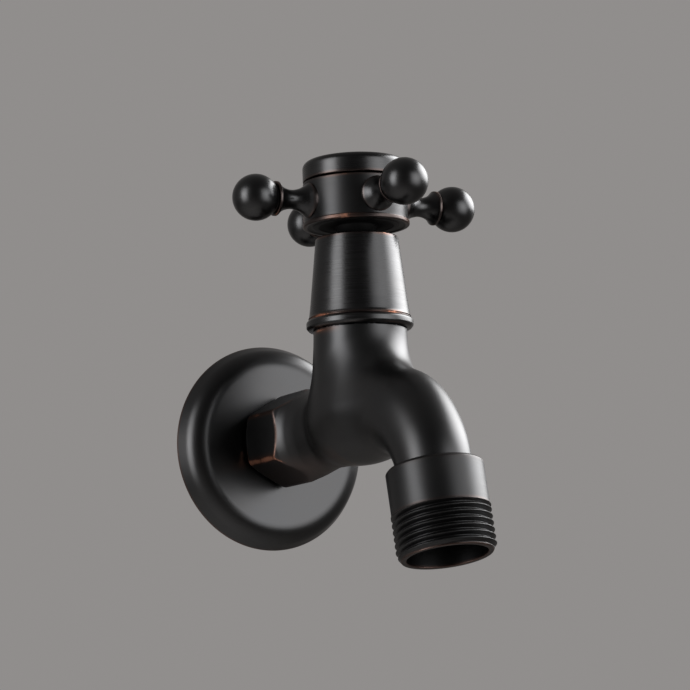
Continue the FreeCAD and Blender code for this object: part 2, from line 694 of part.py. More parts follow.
def spindle():
    """Stem with a fork below, two O-ring grooves, a circlip groove and a splined top."""
    shank_top = CIRCLIP_TOP + SHANK_OVER_CLIP
    points = [
        (0, SPINDLE_FLANGE_BOTTOM),
        (SPINDLE_FLANGE_RADIUS, SPINDLE_FLANGE_BOTTOM),
        (SPINDLE_FLANGE_RADIUS, SPINDLE_FLANGE_TOP),
        (SPINDLE_RADIUS, SPINDLE_FLANGE_TOP),
    ]
    points += oring_groove(ORING_LOWER) + oring_groove(ORING_UPPER)
    points += [
        (SPINDLE_RADIUS, CIRCLIP_BOTTOM),
        (CIRCLIP_GROOVE_RADIUS, CIRCLIP_BOTTOM),
        (CIRCLIP_GROOVE_RADIUS, CIRCLIP_TOP),
        (SPINDLE_RADIUS, CIRCLIP_TOP),
        (SPINDLE_RADIUS, shank_top),
        (0, shank_top),
    ]
    stem = turned(points).fuse(fork_legs(SPINDLE_FLANGE_BOTTOM, 0)).fuse(spline(0, shank_top, HUB_FLOOR))
    hole_bottom = SCREW_SEAT - SCREW_LENGTH - PAST
    return on_spindle(stem.cut(rod(SCREW_RADIUS + THREAD_CLEARANCE, hole_bottom, HUB_FLOOR)))


def spindle_oring(height):
    return on_spindle(torus(ORING_WIRE, SPINDLE_RADIUS - ORING_WIRE / 2, height))


def spindle_circlip():
    """Open spring ring in the groove over the stem barrel."""
    clip = ring(CIRCLIP_RADIUS, CIRCLIP_GROOVE_RADIUS, CIRCLIP_BOTTOM, CIRCLIP_TOP)
    corner = Vector(-CIRCLIP_OPENING / 2, 0, CIRCLIP_BOTTOM)
    return on_spindle(clip.cut(Part.makeBox(CIRCLIP_OPENING, CIRCLIP_RADIUS, CIRCLIP_THICKNESS, corner)))


def radial(shape, turn):
    """Lays a shape whose Z is the distance from the spindle axis along a handle arm."""
    moved = shape.copy()
    moved.rotate(Vector(0, 0, 0), Vector(0, 1, 0), 90)
    moved.rotate(Vector(0, 0, 0), UP, turn)
    moved.translate(SPINDLE_FOOT + Vector(0, 0, ARM_HEIGHT))
    return moved


def handle_hub():
    """Drum with a thin skirt, a guide boss below and a socket for the cap above."""
    skirt_top = SKIRT_BOTTOM + SKIRT_THICKNESS
    recess_top = SKIRT_BOTTOM + RECESS_DEPTH
    boss_bottom = SKIRT_BOTTOM - BOSS_DEPTH
    drum = turned([
        (0, boss_bottom),
        (BOSS_RADIUS, boss_bottom),
        (BOSS_RADIUS, recess_top),
        (RECESS_RADIUS - RECESS_DEPTH / 2, recess_top),
        (RECESS_RADIUS, SKIRT_BOTTOM),
        (SKIRT_RADIUS - EDGE_BREAK, SKIRT_BOTTOM),
        (SKIRT_RADIUS, SKIRT_BOTTOM + EDGE_BREAK),
        (SKIRT_RADIUS, skirt_top - EDGE_BREAK),
        (SKIRT_RADIUS - EDGE_BREAK, skirt_top),
        (DRUM_RADIUS, skirt_top),
        (DRUM_RADIUS, DRUM_TOP - EDGE_BREAK),
        (DRUM_RADIUS - EDGE_BREAK, DRUM_TOP),
        (CAP_SOCKET_RADIUS, DRUM_TOP),
        (CAP_SOCKET_RADIUS, CAP_SOCKET_FLOOR),
        (SCREW_POCKET_RADIUS, CAP_SOCKET_FLOOR),
        (SCREW_POCKET_RADIUS, SCREW_SEAT),
        (0, SCREW_SEAT),
    ])
    drum = drum.cut(spline(SPLINE_CLEARANCE, boss_bottom - PAST, HUB_FLOOR))
    drum = on_spindle(drum.cut(rod(SCREW_RADIUS + SCREW_CLEARANCE, HUB_FLOOR - PAST, SCREW_SEAT + PAST)))
    hole_end = ARM_STUD_INNER - SCREW_CLEARANCE
    stud_hole = rod(ARM_STUD_RADIUS + THREAD_CLEARANCE, hole_end, SKIRT_RADIUS + PAST)
    for turn in ARM_TURNS.values():
        drum = drum.cut(radial(stud_hole, turn))
    return drum


def handle_arm(turn):
    """Turned arm: stud, trumpet base, neck, disc and ball."""
    base_reach = DRUM_RADIUS + ARM_BASE_LENGTH
    neck_reach = DRUM_RADIUS + ARM_TRUMPET_LENGTH
    foot_reach = ARM_BALL_REACH - math.sqrt(ARM_BALL_RADIUS ** 2 - ARM_BALL_FOOT_RADIUS ** 2)
    disc_outer = foot_reach - ARM_DISC_STEP
    disc_inner = disc_outer - ARM_DISC_THICKNESS
    trumpet = ARM_NECK_RADIUS + ARM_TRUMPET_RISE
    flare = ARM_NECK_RADIUS + ARM_FLARE_RISE
    half = ARM_BALL_RADIUS * MIDDLE
    shape = radial(turned([
        (0, DRUM_RADIUS - ARM_BASE_INSET),
        (ARM_BASE_RADIUS, DRUM_RADIUS - ARM_BASE_INSET),
        (ARM_BASE_RADIUS, base_reach),
        (ARM_NECK_RADIUS, neck_reach, trumpet, (DRUM_RADIUS + neck_reach) / 2),
        (ARM_NECK_RADIUS, disc_inner - ARM_FLARE_LENGTH),
        (ARM_DISC_RADIUS - EDGE_BREAK, disc_inner, flare, disc_inner - ARM_FLARE_STEP),
        (ARM_DISC_RADIUS, disc_inner + EDGE_BREAK),
        (ARM_DISC_RADIUS, disc_outer - EDGE_BREAK),
        (ARM_DISC_RADIUS - EDGE_BREAK, disc_outer),
        (ARM_BALL_FOOT_RADIUS, foot_reach),
        (0, ARM_BALL_REACH + ARM_BALL_RADIUS, half, ARM_BALL_REACH + half),
    ]), turn)
    around = 2 * ARM_BASE_RADIUS
    drum = on_spindle(rod(DRUM_RADIUS, ARM_HEIGHT - around, ARM_HEIGHT + around))
    stud = radial(rod(ARM_STUD_RADIUS, ARM_STUD_INNER, base_reach), turn)
    return shape.cut(drum).fuse(stud)


def screw_washer():
    top = SCREW_SEAT + SCREW_WASHER_THICKNESS
    return on_spindle(ring(SCREW_WASHER_RADIUS, SCREW_RADIUS + SCREW_CLEARANCE, SCREW_SEAT, top))


def handle_screw():
    """Socket-head screw down into the spindle."""
    seat = SCREW_SEAT + SCREW_WASHER_THICKNESS
    top = seat + SCREW_HEAD_HEIGHT
    shape = turned([
        (0, SCREW_SEAT - SCREW_LENGTH),
        (SCREW_RADIUS, SCREW_SEAT - SCREW_LENGTH),
        (SCREW_RADIUS, seat),
        (SCREW_HEAD_RADIUS, seat),
        (SCREW_HEAD_RADIUS, top - EDGE_BREAK),
        (SCREW_HEAD_RADIUS - EDGE_BREAK, top),
        (0, top),
    ])
    return on_spindle(shape.cut(hexagon(SCREW_SOCKET, top - SCREW_SOCKET_DEPTH, top + PAST)))


def handle_cap():
    """Rounded cap over a shadow groove, held in the drum by an O-ring on its spigot."""
    groove_bottom = CAP_ORING_HEIGHT - CAP_ORING_GROOVE / 2
    groove_top = CAP_ORING_HEIGHT + CAP_ORING_GROOVE / 2
    spigot = CAP_SOCKET_RADIUS - THREAD_CLEARANCE
    root = CAP_SOCKET_RADIUS - CAP_ORING_WIRE
    neck = DRUM_RADIUS - CAP_GROOVE_DEPTH
    cap_bottom = DRUM_TOP + CAP_GROOVE
    centre = DRUM_RADIUS - CAP_ROUND
    level = CAP_TOP - CAP_ROUND
    half = CAP_ROUND * MIDDLE
    return on_spindle(turned([
        (CAP_HOLLOW_RADIUS, CAP_SPIGOT_BOTTOM),
        (spigot, CAP_SPIGOT_BOTTOM),
        (spigot, groove_bottom),
        (root, groove_bottom),
        (root, groove_top),
        (spigot, groove_top),
        (spigot, DRUM_TOP),
        (neck, DRUM_TOP),
        (neck, cap_bottom),
        (DRUM_RADIUS - EDGE_BREAK, cap_bottom),
        (DRUM_RADIUS, cap_bottom + EDGE_BREAK),
        (DRUM_RADIUS, level),
        (centre, CAP_TOP, centre + half, level + half),
        (0, CAP_TOP),
        (0, CAP_TOP - CAP_TOP_THICKNESS),
        (CAP_HOLLOW_RADIUS, CAP_TOP - CAP_TOP_THICKNESS),
    ]))


def cap_oring():
    return on_spindle(torus(CAP_ORING_WIRE, CAP_SOCKET_RADIUS - CAP_ORING_WIRE / 2, CAP_ORING_HEIGHT))


def pieces():
    """Every sub-part by its name."""
    made = {
        "body": body(),
        "wall_flange": wall_flange(),
        "outlet_adaptor": outlet_adaptor(),
        "outlet_washer": outlet_washer(),
        "bonnet": bonnet(),
        "bonnet_guide_ring": bonnet_guide_ring(),
        "cartridge_body": cartridge_body(),
        "cartridge_gasket": cartridge_gasket(),
        "fixed_disc": fixed_disc(),
        "moving_disc": moving_disc(),
        "seat_seal": seat_seal(),
        "seal_support": seal_support(),
        "friction_washer": friction_washer(),
        "spindle": spindle(),
        "spindle_oring_lower": spindle_oring(ORING_LOWER),
        "spindle_oring_upper": spindle_oring(ORING_UPPER),
        "spindle_circlip": spindle_circlip(),
        "handle_hub": handle_hub(),
        "screw_washer": screw_washer(),
        "handle_screw": handle_screw(),
        "handle_cap": handle_cap(),
        "cap_oring": cap_oring(),
    }
    for name, turn in ARM_TURNS.items():
        made[name] = handle_arm(turn)
    return made


os.makedirs("parts", exist_ok=True)
for name, shape in pieces().items():
    shape.Solids[0].exportStep("parts/" + name + ".step")
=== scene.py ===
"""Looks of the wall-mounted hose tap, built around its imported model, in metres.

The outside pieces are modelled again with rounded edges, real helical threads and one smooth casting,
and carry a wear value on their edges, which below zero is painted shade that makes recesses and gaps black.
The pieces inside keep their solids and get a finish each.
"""
import json
import math

import bpy
import numpy as np
from mathutils import Matrix, Vector


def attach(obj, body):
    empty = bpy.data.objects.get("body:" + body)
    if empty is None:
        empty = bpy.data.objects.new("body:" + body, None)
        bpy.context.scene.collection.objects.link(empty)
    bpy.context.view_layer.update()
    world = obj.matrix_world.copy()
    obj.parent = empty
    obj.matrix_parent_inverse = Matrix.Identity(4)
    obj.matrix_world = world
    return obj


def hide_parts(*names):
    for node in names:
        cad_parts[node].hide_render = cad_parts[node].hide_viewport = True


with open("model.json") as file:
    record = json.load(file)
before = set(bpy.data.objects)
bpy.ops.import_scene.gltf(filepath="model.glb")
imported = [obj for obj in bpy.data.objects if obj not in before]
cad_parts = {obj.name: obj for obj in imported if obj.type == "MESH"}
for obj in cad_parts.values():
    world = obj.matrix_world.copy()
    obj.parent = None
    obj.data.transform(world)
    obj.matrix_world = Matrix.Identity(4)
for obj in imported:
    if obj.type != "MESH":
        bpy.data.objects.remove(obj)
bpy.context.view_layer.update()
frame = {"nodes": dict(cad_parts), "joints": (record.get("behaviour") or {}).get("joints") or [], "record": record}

MM = 0.001

# Places from the frame
JOINT = frame["joints"][0]
MOUNTS = {mount["name"]: mount for mount in frame["record"]["mounts"]}
SPINDLE_Y = JOINT["pos_m"][1]
ARM_HEIGHT = JOINT["pos_m"][2]
OUTLET_MOUNT = MOUNTS["outlet_thread"]
OUTLET_DOWN = Vector(OUTLET_MOUNT["axis"])
OUTLET_CREST = OUTLET_MOUNT["dims"]["r_mm"] * MM
INLET_CREST = MOUNTS["inlet_thread"]["dims"]["r_mm"] * MM
TILT = math.atan2(-OUTLET_DOWN.y, -OUTLET_DOWN.z)
FIRST_CREST_EDGE = 1.64 * MM
OUTLET_END = Vector(OUTLET_MOUNT["pos_m"]) + OUTLET_DOWN * (
    OUTLET_MOUNT["dims"]["length_mm"] * MM / 2 + FIRST_CREST_EDGE)

# Local frames whose Z runs along each piece's own axis
ON_SPINDLE = Matrix.Translation((0, SPINDLE_Y, 0))
FROM_WALL = Matrix.Rotation(math.radians(90), 4, "X")
ON_OUTLET = Matrix.Translation(OUTLET_END) @ Matrix.Rotation(-TILT, 4, "X")

# How finely the shapes are cut
SEGMENTS = 192
ARM_SEGMENTS = 96
ROW_SPACING = 0.7 * MM
ARC_STEP = math.radians(9)
FLANGE_STEPS = 16
BALL_STEPS = 30
VOXEL = 0.44 * MM
FIELD_STEP = 0.05 * MM
SETTLE_ROUNDS = 6

# Wear and painted shade in one value: from 1, rubbed to copper, through 0, as plated, down to UNLIT, painted shade
# that makes recesses and gaps black
WEAR_REACH = 0.2 * MM
UNWORN_SHARE = 0.3
UNLIT = -1.0

# Pipe thread
PITCH = 1.814 * MM
THREAD_DEPTH = 1.16 * MM
THREAD_ROW = 0.09 * MM
THREAD_ROUNDING = 0.16

# Wall flange, as radius and distance from the wall
FLANGE_RADIUS = 29.84 * MM
FLANGE_FACE = 7.0 * MM
FLANGE_FLAT = 22.5 * MM
FLANGE_ROUND = 6.5 * MM
FLANGE_SLOPE = math.radians(66)
FLANGE_SHEET = 1.1 * MM
FLANGE_DROP = 0.85 * MM

# Inlet, hexagon and barrel, as distances from the wall
INLET_LENGTH = 14.0 * MM
SPIGOT_RADIUS = 10.3 * MM
INLET_BORE = 6.5 * MM
HEX_FLAT = 11.75 * MM
HEX_START = 8.5 * MM
HEX_END = 24.1 * MM
HEX_TURNED = 13.35 * MM
HEX_CHAMFER_START = 12.0 * MM
HEX_CHAMFER_SLOPE = 1.5
HEX_EDGE = 0.45 * MM
HEX_TURNS = (0, math.pi / 3, 2 * math.pi / 3)
FLATS_REACH = 34.0 * MM
WAIST_REACH = 38.5 * MM
WAIST_HALF_WIDTH = 9.3 * MM
WAIST_HALF_HEIGHT = 11.0 * MM
SHOULDER = ((0.125, 0.0, 0.2), (0.33, 0.62, 0.45), (0.6, 0.95, 0.73))

# Neck and spout
NECK_HEIGHT = 25.25 * MM
NECK_TOP = 12.9 * MM
NECK_BASE = 13.6 * MM
NECK_TAPER = 9.25 * MM
BULB_TOP = 3.0 * MM
BULB_DEPTH = 11.9 * MM
BACK_BLEND = 8.0 * MM
FOOT_BLEND = 7.0 * MM
SIDE_BLEND = 12.0 * MM
SADDLE_BLEND = 12.0 * MM
BACK_TO_FRONT = (-5 * MM, 9 * MM)
BACK_HEIGHTS = (-4 * MM, 9 * MM)
FRONT_HEIGHTS = (-6 * MM, 4 * MM, 13 * MM, 26 * MM)
HUMP_PLACES = (58 * MM, 76 * MM, 91 * MM)
HUMP = 0.85 * MM
NECK_BORE = 10.5 * MM
NECK_BORE_BOTTOM = 3.0 * MM
BEND_RADIUS = 20.3 * MM
SPOUT_RADIUS = 11.1 * MM
SPOUT_END_RADIUS = 10.1 * MM
SPOUT_TAPER_POWER = 1.6
RUN_HALF_WIDTH = 12.2 * MM
RUN_LENGTH = 12.0 * MM
SPOUT_BORE = 6.8 * MM
ADAPTOR_LENGTH = 24.4 * MM
SPOUT_THREAD_LENGTH = 11.9 * MM
SPOUT_THREAD_RADIUS = 10.0 * MM

# Outlet collar and its thread, as heights over the outlet's end face
COLLAR_RADIUS = 13.0 * MM
COLLAR_BOTTOM = 12.2 * MM
COLLAR_CHAMFER = 0.7 * MM
OUTLET_BORE = 10.8 * MM
OUTLET_BORE_DEPTH = 7.5 * MM
THROAT = 7.4 * MM
RIGHT_CREST = 1.76 * MM
RIGHT_TURN = math.radians(-28.7)

# Bonnet sleeve
BONNET_TOP = 50.85 * MM
BONNET_TOP_RADIUS = 11.45 * MM
BONNET_FOOT_RADIUS = 13.45 * MM
BEAD_RADIUS = 14.75 * MM
BEAD_HEIGHT = 26.8 * MM
BEAD_HALF = 1.3 * MM

# Handle
SKIRT_BOTTOM = 54.1 * MM
SKIRT_RADIUS = 14.8 * MM
SKIRT_THICKNESS = 1.15 * MM
DRUM_RADIUS = 14.4 * MM
DRUM_TOP = 66.55 * MM
CAP_TOP = 72.65 * MM
CAP_GROOVE = 0.45 * MM
CAP_GROOVE_DEPTH = 0.75 * MM
CAP_ROUND = 2.0 * MM
REST_ANGLE = -4.0
ARM_NAMES = ("arm_right", "arm_back", "arm_left", "arm_front")
BALL_REACH = 30.15 * MM
BALL_RADIUS = 6.42 * MM
BALL_FOOT = 3.7 * MM
DISC_RADIUS = 4.8 * MM
DISC_THICKNESS = 0.75 * MM
DISC_STEP = 0.13 * MM
ARM_NECK = 2.6 * MM
ARM_BASE = 4.9 * MM
ARM_BASE_THICKNESS = 0.14 * MM
STUD_RADIUS = 2.3 * MM
STUD_INNER = 9.9 * MM

# Where the casting is worn, with angles in degrees
WORN_VERTEX = 209
WORN_VERTEX_SPREAD = 15
WORN_ARC_END = 228
WORN_ARC_FADE = 8
WORN_WIDTH = 0.25 * MM
NECK_WEAR_AZIMUTH = -88
NECK_WEAR_SPREAD = 20

# Plated bronze
MARK_SCALES = (70, 70, 3600)
PLATE_DARK = (0.040, 0.041, 0.043)
PLATE_PALE = (0.051, 0.050, 0.050)
RUBBED = (0.115, 0.062, 0.046, 1)
COPPER = (0.52, 0.24, 0.155, 1)
# Painted shade in recesses and gaps: black colour, rough, and with NO_TINT no reflection
PAINTED_SHADE_BLACK = (0.008, 0.008, 0.008, 1)
PLATE_TINT = (0.86, 0.86, 0.86, 1)
NO_TINT = (0.0, 0.0, 0.0, 1)
COPPER_FROM = 1.78
COPPER_FULL = 2.15
COPPER_ROUGHNESS = 0.42
PAINTED_SHADE_ROUGHNESS = 0.9

# Softboxes as name, azimuth, elevation, width, height and radiance
SOFTBOXES = (
    ("left_box", -86, 8, 0.52, 1.15, 7.8),
    ("front_box", 27, 5, 1.05, 1.00, 5.0),
    ("right_box", 88, 27, 1.30, 0.72, 19.0),
)
TAP_MIDDLE = Vector((0, -0.055, 0.015))
LAMP_DISTANCE = 1.0
GRID_ANGLE = math.radians(36)

# Room light, dimmer in front of the wall than behind it, and the floor
ROOM_COLOUR = (1.0, 0.96, 0.94, 1)
ROOM_DEPTHS = (-0.9, 0.5)
ROOM_STRENGTHS = (0.07, 0.28)
FLOOR_HEIGHT = -0.7
FLOOR_HALF = 4.0
FLOOR_COLOUR = (0.72, 0.70, 0.68, 1)

# Camera, fitted to the photograph
CAMERA_PLACE = Vector((-0.37885, -0.70599, -0.09621))
CAMERA_TURN = math.radians(-29.881)
CAMERA_TIP = math.radians(90 + 8.871)
CAMERA_ROLL = math.radians(-2.069)
SENSOR_WIDTH = 36.0
LENS = 144.80


def make_object(name, points, faces, place, wear_and_shade=None, normals=None):
    """Mesh object at the origin from local points, which it keeps for its finish as the spot of each."""
    mesh = bpy.data.meshes.new(name)
    mesh.from_pydata(points.tolist(), [], faces)
    spots = mesh.attributes.new("spot", "FLOAT_VECTOR", "POINT")
    spots.data.foreach_set("vector", points.astype(np.float32).ravel())
    if wear_and_shade is not None:
        amounts = mesh.attributes.new("wear_and_shade", "FLOAT", "POINT")
        amounts.data.foreach_set("value", wear_and_shade.astype(np.float32))
    mesh.transform(place)
    mesh.shade_smooth()
    if normals is not None:
        mesh.normals_split_custom_set_from_vertices(normals.tolist())
    made = bpy.data.objects.new(name, mesh)
    bpy.context.scene.collection.objects.link(made)
    return made


def fillet(before, corner, after, radius):
    """Points of the arc that rounds a corner of a profile."""
    a = (before - corner) / np.linalg.norm(before - corner)
    b = (after - corner) / np.linalg.norm(after - corner)
    half = math.acos(np.clip(a @ b, -1, 1)) / 2
    reach = min(radius / math.tan(half), 0.49 * np.linalg.norm(before - corner),
                0.49 * np.linalg.norm(after - corner))
    radius = reach * math.tan(half)
    centre = corner + (a + b) / np.linalg.norm(a + b) * radius / math.sin(half)
    start = corner + a * reach - centre
    end = corner + b * reach - centre
    sweep = math.pi - 2 * half
    steps = max(2, math.ceil(sweep / ARC_STEP))
    points = []
    for i in range(steps + 1):
        t = i / steps
        spoke = start * math.sin((1 - t) * sweep) + end * math.sin(t * sweep)
        points.append(centre + spoke / math.sin(sweep))
    return points


def arc_rows(centre, radius, start, end, steps):
    """Corners along an arc of a profile, without rounding or wear."""
    angles = [start + (end - start) * i / steps for i in range(steps + 1)]
    return [(centre[0] + radius * math.sin(a), centre[1] + radius * math.cos(a), 0, 0) for a in angles]


def profile(corners, closed=True):
    """Rows (radius, height, wear) along a profile of corners (radius, height, rounding, wear).

    Wear fades out from each worn corner. Between corners below zero, which carry painted shade, it runs evenly
    from one to the next.
    """
    places = [np.array(corner[:2]) for corner in corners]
    count = len(corners)
    rows = []
    marks = []
    for i, corner in enumerate(corners):
        end = not closed and i in (0, count - 1)
        if end or corner[2] == 0:
            arc = [places[i]]
        else:
            arc = fillet(places[i - 1], places[i], places[(i + 1) % count], corner[2])
        marks.append((len(rows), len(rows) + len(arc) - 1, corner[3]))
        rows += arc
    filled = []
    spots = []
    pairs = len(rows) if closed else len(rows) - 1
    for i in range(pairs):
        start, stop = rows[i], rows[(i + 1) % len(rows)]
        parts = max(1, math.ceil(np.linalg.norm(stop - start) / ROW_SPACING))
        spots.append(len(filled))
        filled += [start + (stop - start) * j / parts for j in range(parts)]
    if not closed:
        spots.append(len(filled))
        filled.append(rows[-1])
    filled = np.array(filled)
    wear_and_shade = np.zeros(len(filled))
    for first, last, amount in marks:
        if amount > 0:
            zone = filled[spots[first]:spots[last] + 1]
            apart = np.linalg.norm(filled[:, None] - zone[None], axis=2).min(axis=1)
            wear_and_shade = np.maximum(wear_and_shade, amount * np.exp(-(apart / WEAR_REACH) ** 2))
    painted_shade_marks = [mark for mark in marks if mark[2] < 0]
    if painted_shade_marks:
        stops = [spots[mark[end]] for mark in painted_shade_marks for end in (0, 1)]
        amounts = [mark[2] for mark in painted_shade_marks for end in (0, 1)]
        inside = np.arange(stops[0], stops[-1] + 1)
        wear_and_shade[inside] = np.interp(inside, stops, amounts)
    return np.column_stack([filled, wear_and_shade])


def lathe(name, rows, place, closed=True, segments=SEGMENTS, reshape=None, worn=()):
    """Turns a profile about local Z.

    reshape gives each point its radius and height again, from its radius, height and angle.
    worn lists where round the axis its edges are worn, as (turn, spread, amount) in degrees.
    """
    angles = 2 * math.pi * np.arange(segments) / segments
    radius = np.repeat(rows[:, 0:1], segments, axis=1)
    height = np.repeat(rows[:, 1:2], segments, axis=1)
    turn = np.repeat(angles[None], len(rows), axis=0)
    if reshape:
        radius, height = reshape(radius, height, turn)
    points = np.stack([radius * np.cos(turn), radius * np.sin(turn), height], axis=2).reshape(-1, 3)
    wear_and_shade = np.repeat(rows[:, 2:3], segments, axis=1)
    wear_and_shade = np.where(wear_and_shade > 0, wear_and_shade * wear_round(angles, worn)[None], wear_and_shade).ravel()
    faces = []
    pairs = len(rows) if closed else len(rows) - 1
    for i in range(pairs):
        low = i * segments
        high = (i + 1) % len(rows) * segments
        for j in range(segments):
            k = (j + 1) % segments
            if not closed and i == 0 and rows[0, 0] == 0:
                faces.append((low, high + k, high + j))
            elif not closed and i == pairs - 1 and rows[-1, 0] == 0:
                faces.append((low + j, low + k, high))
            else:
                faces.append((low + j, low + k, high + k, high + j))
    used = np.unique(np.concatenate([np.array(face) for face in faces]))
    renumber = np.zeros(len(points), int)
    renumber[used] = np.arange(len(used))
    faces = [tuple(renumber[list(face)].tolist()) for face in faces]
    return make_object(name, points[used], faces, place, wear_and_shade[used])


def wear_round(angles, worn):
    """Share of the wear at each angle round an axis."""
    if not worn:
        return np.ones(len(angles))
    share = np.full(len(angles), UNWORN_SHARE)
    for turn, spread, amount in worn:
        apart = (np.degrees(angles) - turn + 180) % 360 - 180
        share = np.maximum(share, amount * np.exp(-(apart / spread) ** 2))
    return share


def thread_depth(phase):
    """Depth of the thread's groove under its crest, as a share, from the phase in turns of pitch."""
    wave = 1 - np.abs(2 * (phase % 1.0) - 1)
    e = THREAD_ROUNDING
    root = np.clip(wave - (1 - e), 0, None) ** 2 / (2 * e)
    crest = np.clip(e - wave, 0, None) ** 2 / (2 * e)
    return (wave - root + crest - e / 2) / (1 - e)


def thread_reshape(crest, bottom, top, crest_height, crest_turn):
    """Cuts a right-hand helical groove between two heights."""
    def reshape(radius, height, turn):
        on_thread = (radius > crest - THREAD_DEPTH) & (height > bottom) & (height < top)
        phase = (height - crest_height) / PITCH - (turn - crest_turn) / (2 * math.pi)
        cut = crest - thread_depth(phase) * THREAD_DEPTH
        return np.where(on_thread, np.minimum(radius, cut), radius), height
    return reshape


def dense_thread(rows, crest, bottom, top):
    """Adds rows so close together along the threaded stretch that the groove is smooth."""
    made = []
    for i, row in enumerate(rows):
        made.append(row)
        after = rows[(i + 1) % len(rows)]
        middle = (row + after) / 2
        if middle[0] > crest - THREAD_DEPTH and bottom < middle[1] < top:
            parts = max(1, round(abs(after[1] - row[1]) / THREAD_ROW))
            made += [row + (after - row) * j / parts for j in range(1, parts)]
    return np.array(made)


def dress(piece, node, body, finish):
    """Lets a piece stand for a node on its body, with a finish."""
    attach(piece, body)
    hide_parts(node)
    piece.data.materials.append(finish)
    return piece


def wall_flange():
    """Cover ring with a hub, flat round the hexagon and rounded over to a sloping rim on the wall.

    It hangs a little low, so its hole lies off its middle to fit the spigot.
    """
    hole = SPIGOT_RADIUS + 0.15 * MM
    hub = hole + FLANGE_SHEET
    foot = 0.3 * MM
    centre = (FLANGE_FLAT, FLANGE_FACE - FLANGE_ROUND)
    back = FLANGE_FACE - FLANGE_SHEET
    # The hub and the hole's edge carry painted shade, black in the gap behind the hexagon
    corners = [(hub, back, 0, UNLIT), (hub, foot, 0, UNLIT), (hole, foot, 0, UNLIT)]
    corners += [(hole, FLANGE_FACE, 0.25 * MM, UNLIT)]
    corners += arc_rows(centre, FLANGE_ROUND, 0, FLANGE_SLOPE, FLANGE_STEPS)
    corners += [(FLANGE_RADIUS, 0, 0.25 * MM, 0.5), (FLANGE_RADIUS - FLANGE_SHEET, 0, 0.2 * MM, 0)]
    corners += arc_rows(centre, FLANGE_ROUND - FLANGE_SHEET, FLANGE_SLOPE, 0, FLANGE_STEPS)

    def round_spigot(radius, height, turn):
        share = np.clip((FLANGE_FLAT - radius) / (FLANGE_FLAT - hub), 0, 1)
        return radius + share * FLANGE_DROP * np.sin(turn), height

    place = Matrix.Translation((0, 0, -FLANGE_DROP)) @ FROM_WALL
    return lathe("wall_flange_shell", profile(corners), place, reshape=round_spigot)


def inlet_spigot():
    """Threaded pipe end behind the flange, with its helical thread."""
    end = -INLET_LENGTH
    thread_top = -0.9 * MM
    inner_end = HEX_START + 1 * MM
    rows = profile([
        (INLET_BORE, end, 0.3 * MM, 0.3),
        (INLET_CREST - THREAD_DEPTH, end, 0.15 * MM, 0.4),
        (INLET_CREST, end + FIRST_CREST_EDGE, 0, 0),
        (INLET_CREST, thread_top, 0, 0),
        # The spigot's stretch between wall and hexagon carries painted shade, black where it shows in the gap
        (SPIGOT_RADIUS, 0, 0, UNLIT),
        (SPIGOT_RADIUS, inner_end, 0, UNLIT),
        (INLET_BORE, inner_end, 0, 0),
    ])
    rows = dense_thread(rows, INLET_CREST, end, thread_top)
    reshape = thread_reshape(INLET_CREST, end, thread_top, end + FIRST_CREST_EDGE, 0)
    return lathe("inlet_spigot", rows, FROM_WALL, reshape=reshape)


def outlet_collar():
    """Collar over a right-hand hose thread, with its stepped bore."""
    shelf = ADAPTOR_LENGTH - SPOUT_THREAD_LENGTH - 1.5 * MM
    thread_top = COLLAR_BOTTOM - 0.15 * MM
    socket = SPOUT_THREAD_RADIUS + 0.05 * MM
    rows = profile([
        (OUTLET_BORE, 0, 0.3 * MM, 0.42),
        (OUTLET_CREST - THREAD_DEPTH, 0, 0.15 * MM, 0.48),
        (OUTLET_CREST, FIRST_CREST_EDGE, 0, 0),
        (OUTLET_CREST, thread_top, 0, 0),
        (COLLAR_RADIUS, COLLAR_BOTTOM, 0.12 * MM, 0.15),
        (COLLAR_RADIUS, ADAPTOR_LENGTH - COLLAR_CHAMFER, 0.6 * MM, 0.04),
        (COLLAR_RADIUS - COLLAR_CHAMFER, ADAPTOR_LENGTH, 0.5 * MM, 0.04),
        (socket, ADAPTOR_LENGTH, 0.1 * MM, 0),
        (socket, shelf, 0, 0),
        (THROAT, shelf, 0, 0),
        (THROAT, shelf - 1.8 * MM, 0.2 * MM, 0),
        (OUTLET_BORE, OUTLET_BORE_DEPTH, 0.3 * MM, 0),
    ])
    rows = dense_thread(rows, OUTLET_CREST, 0, thread_top)
    reshape = thread_reshape(OUTLET_CREST, 0, thread_top, RIGHT_CREST, RIGHT_TURN)
    return lathe("outlet_collar", rows, ON_OUTLET, reshape=reshape)


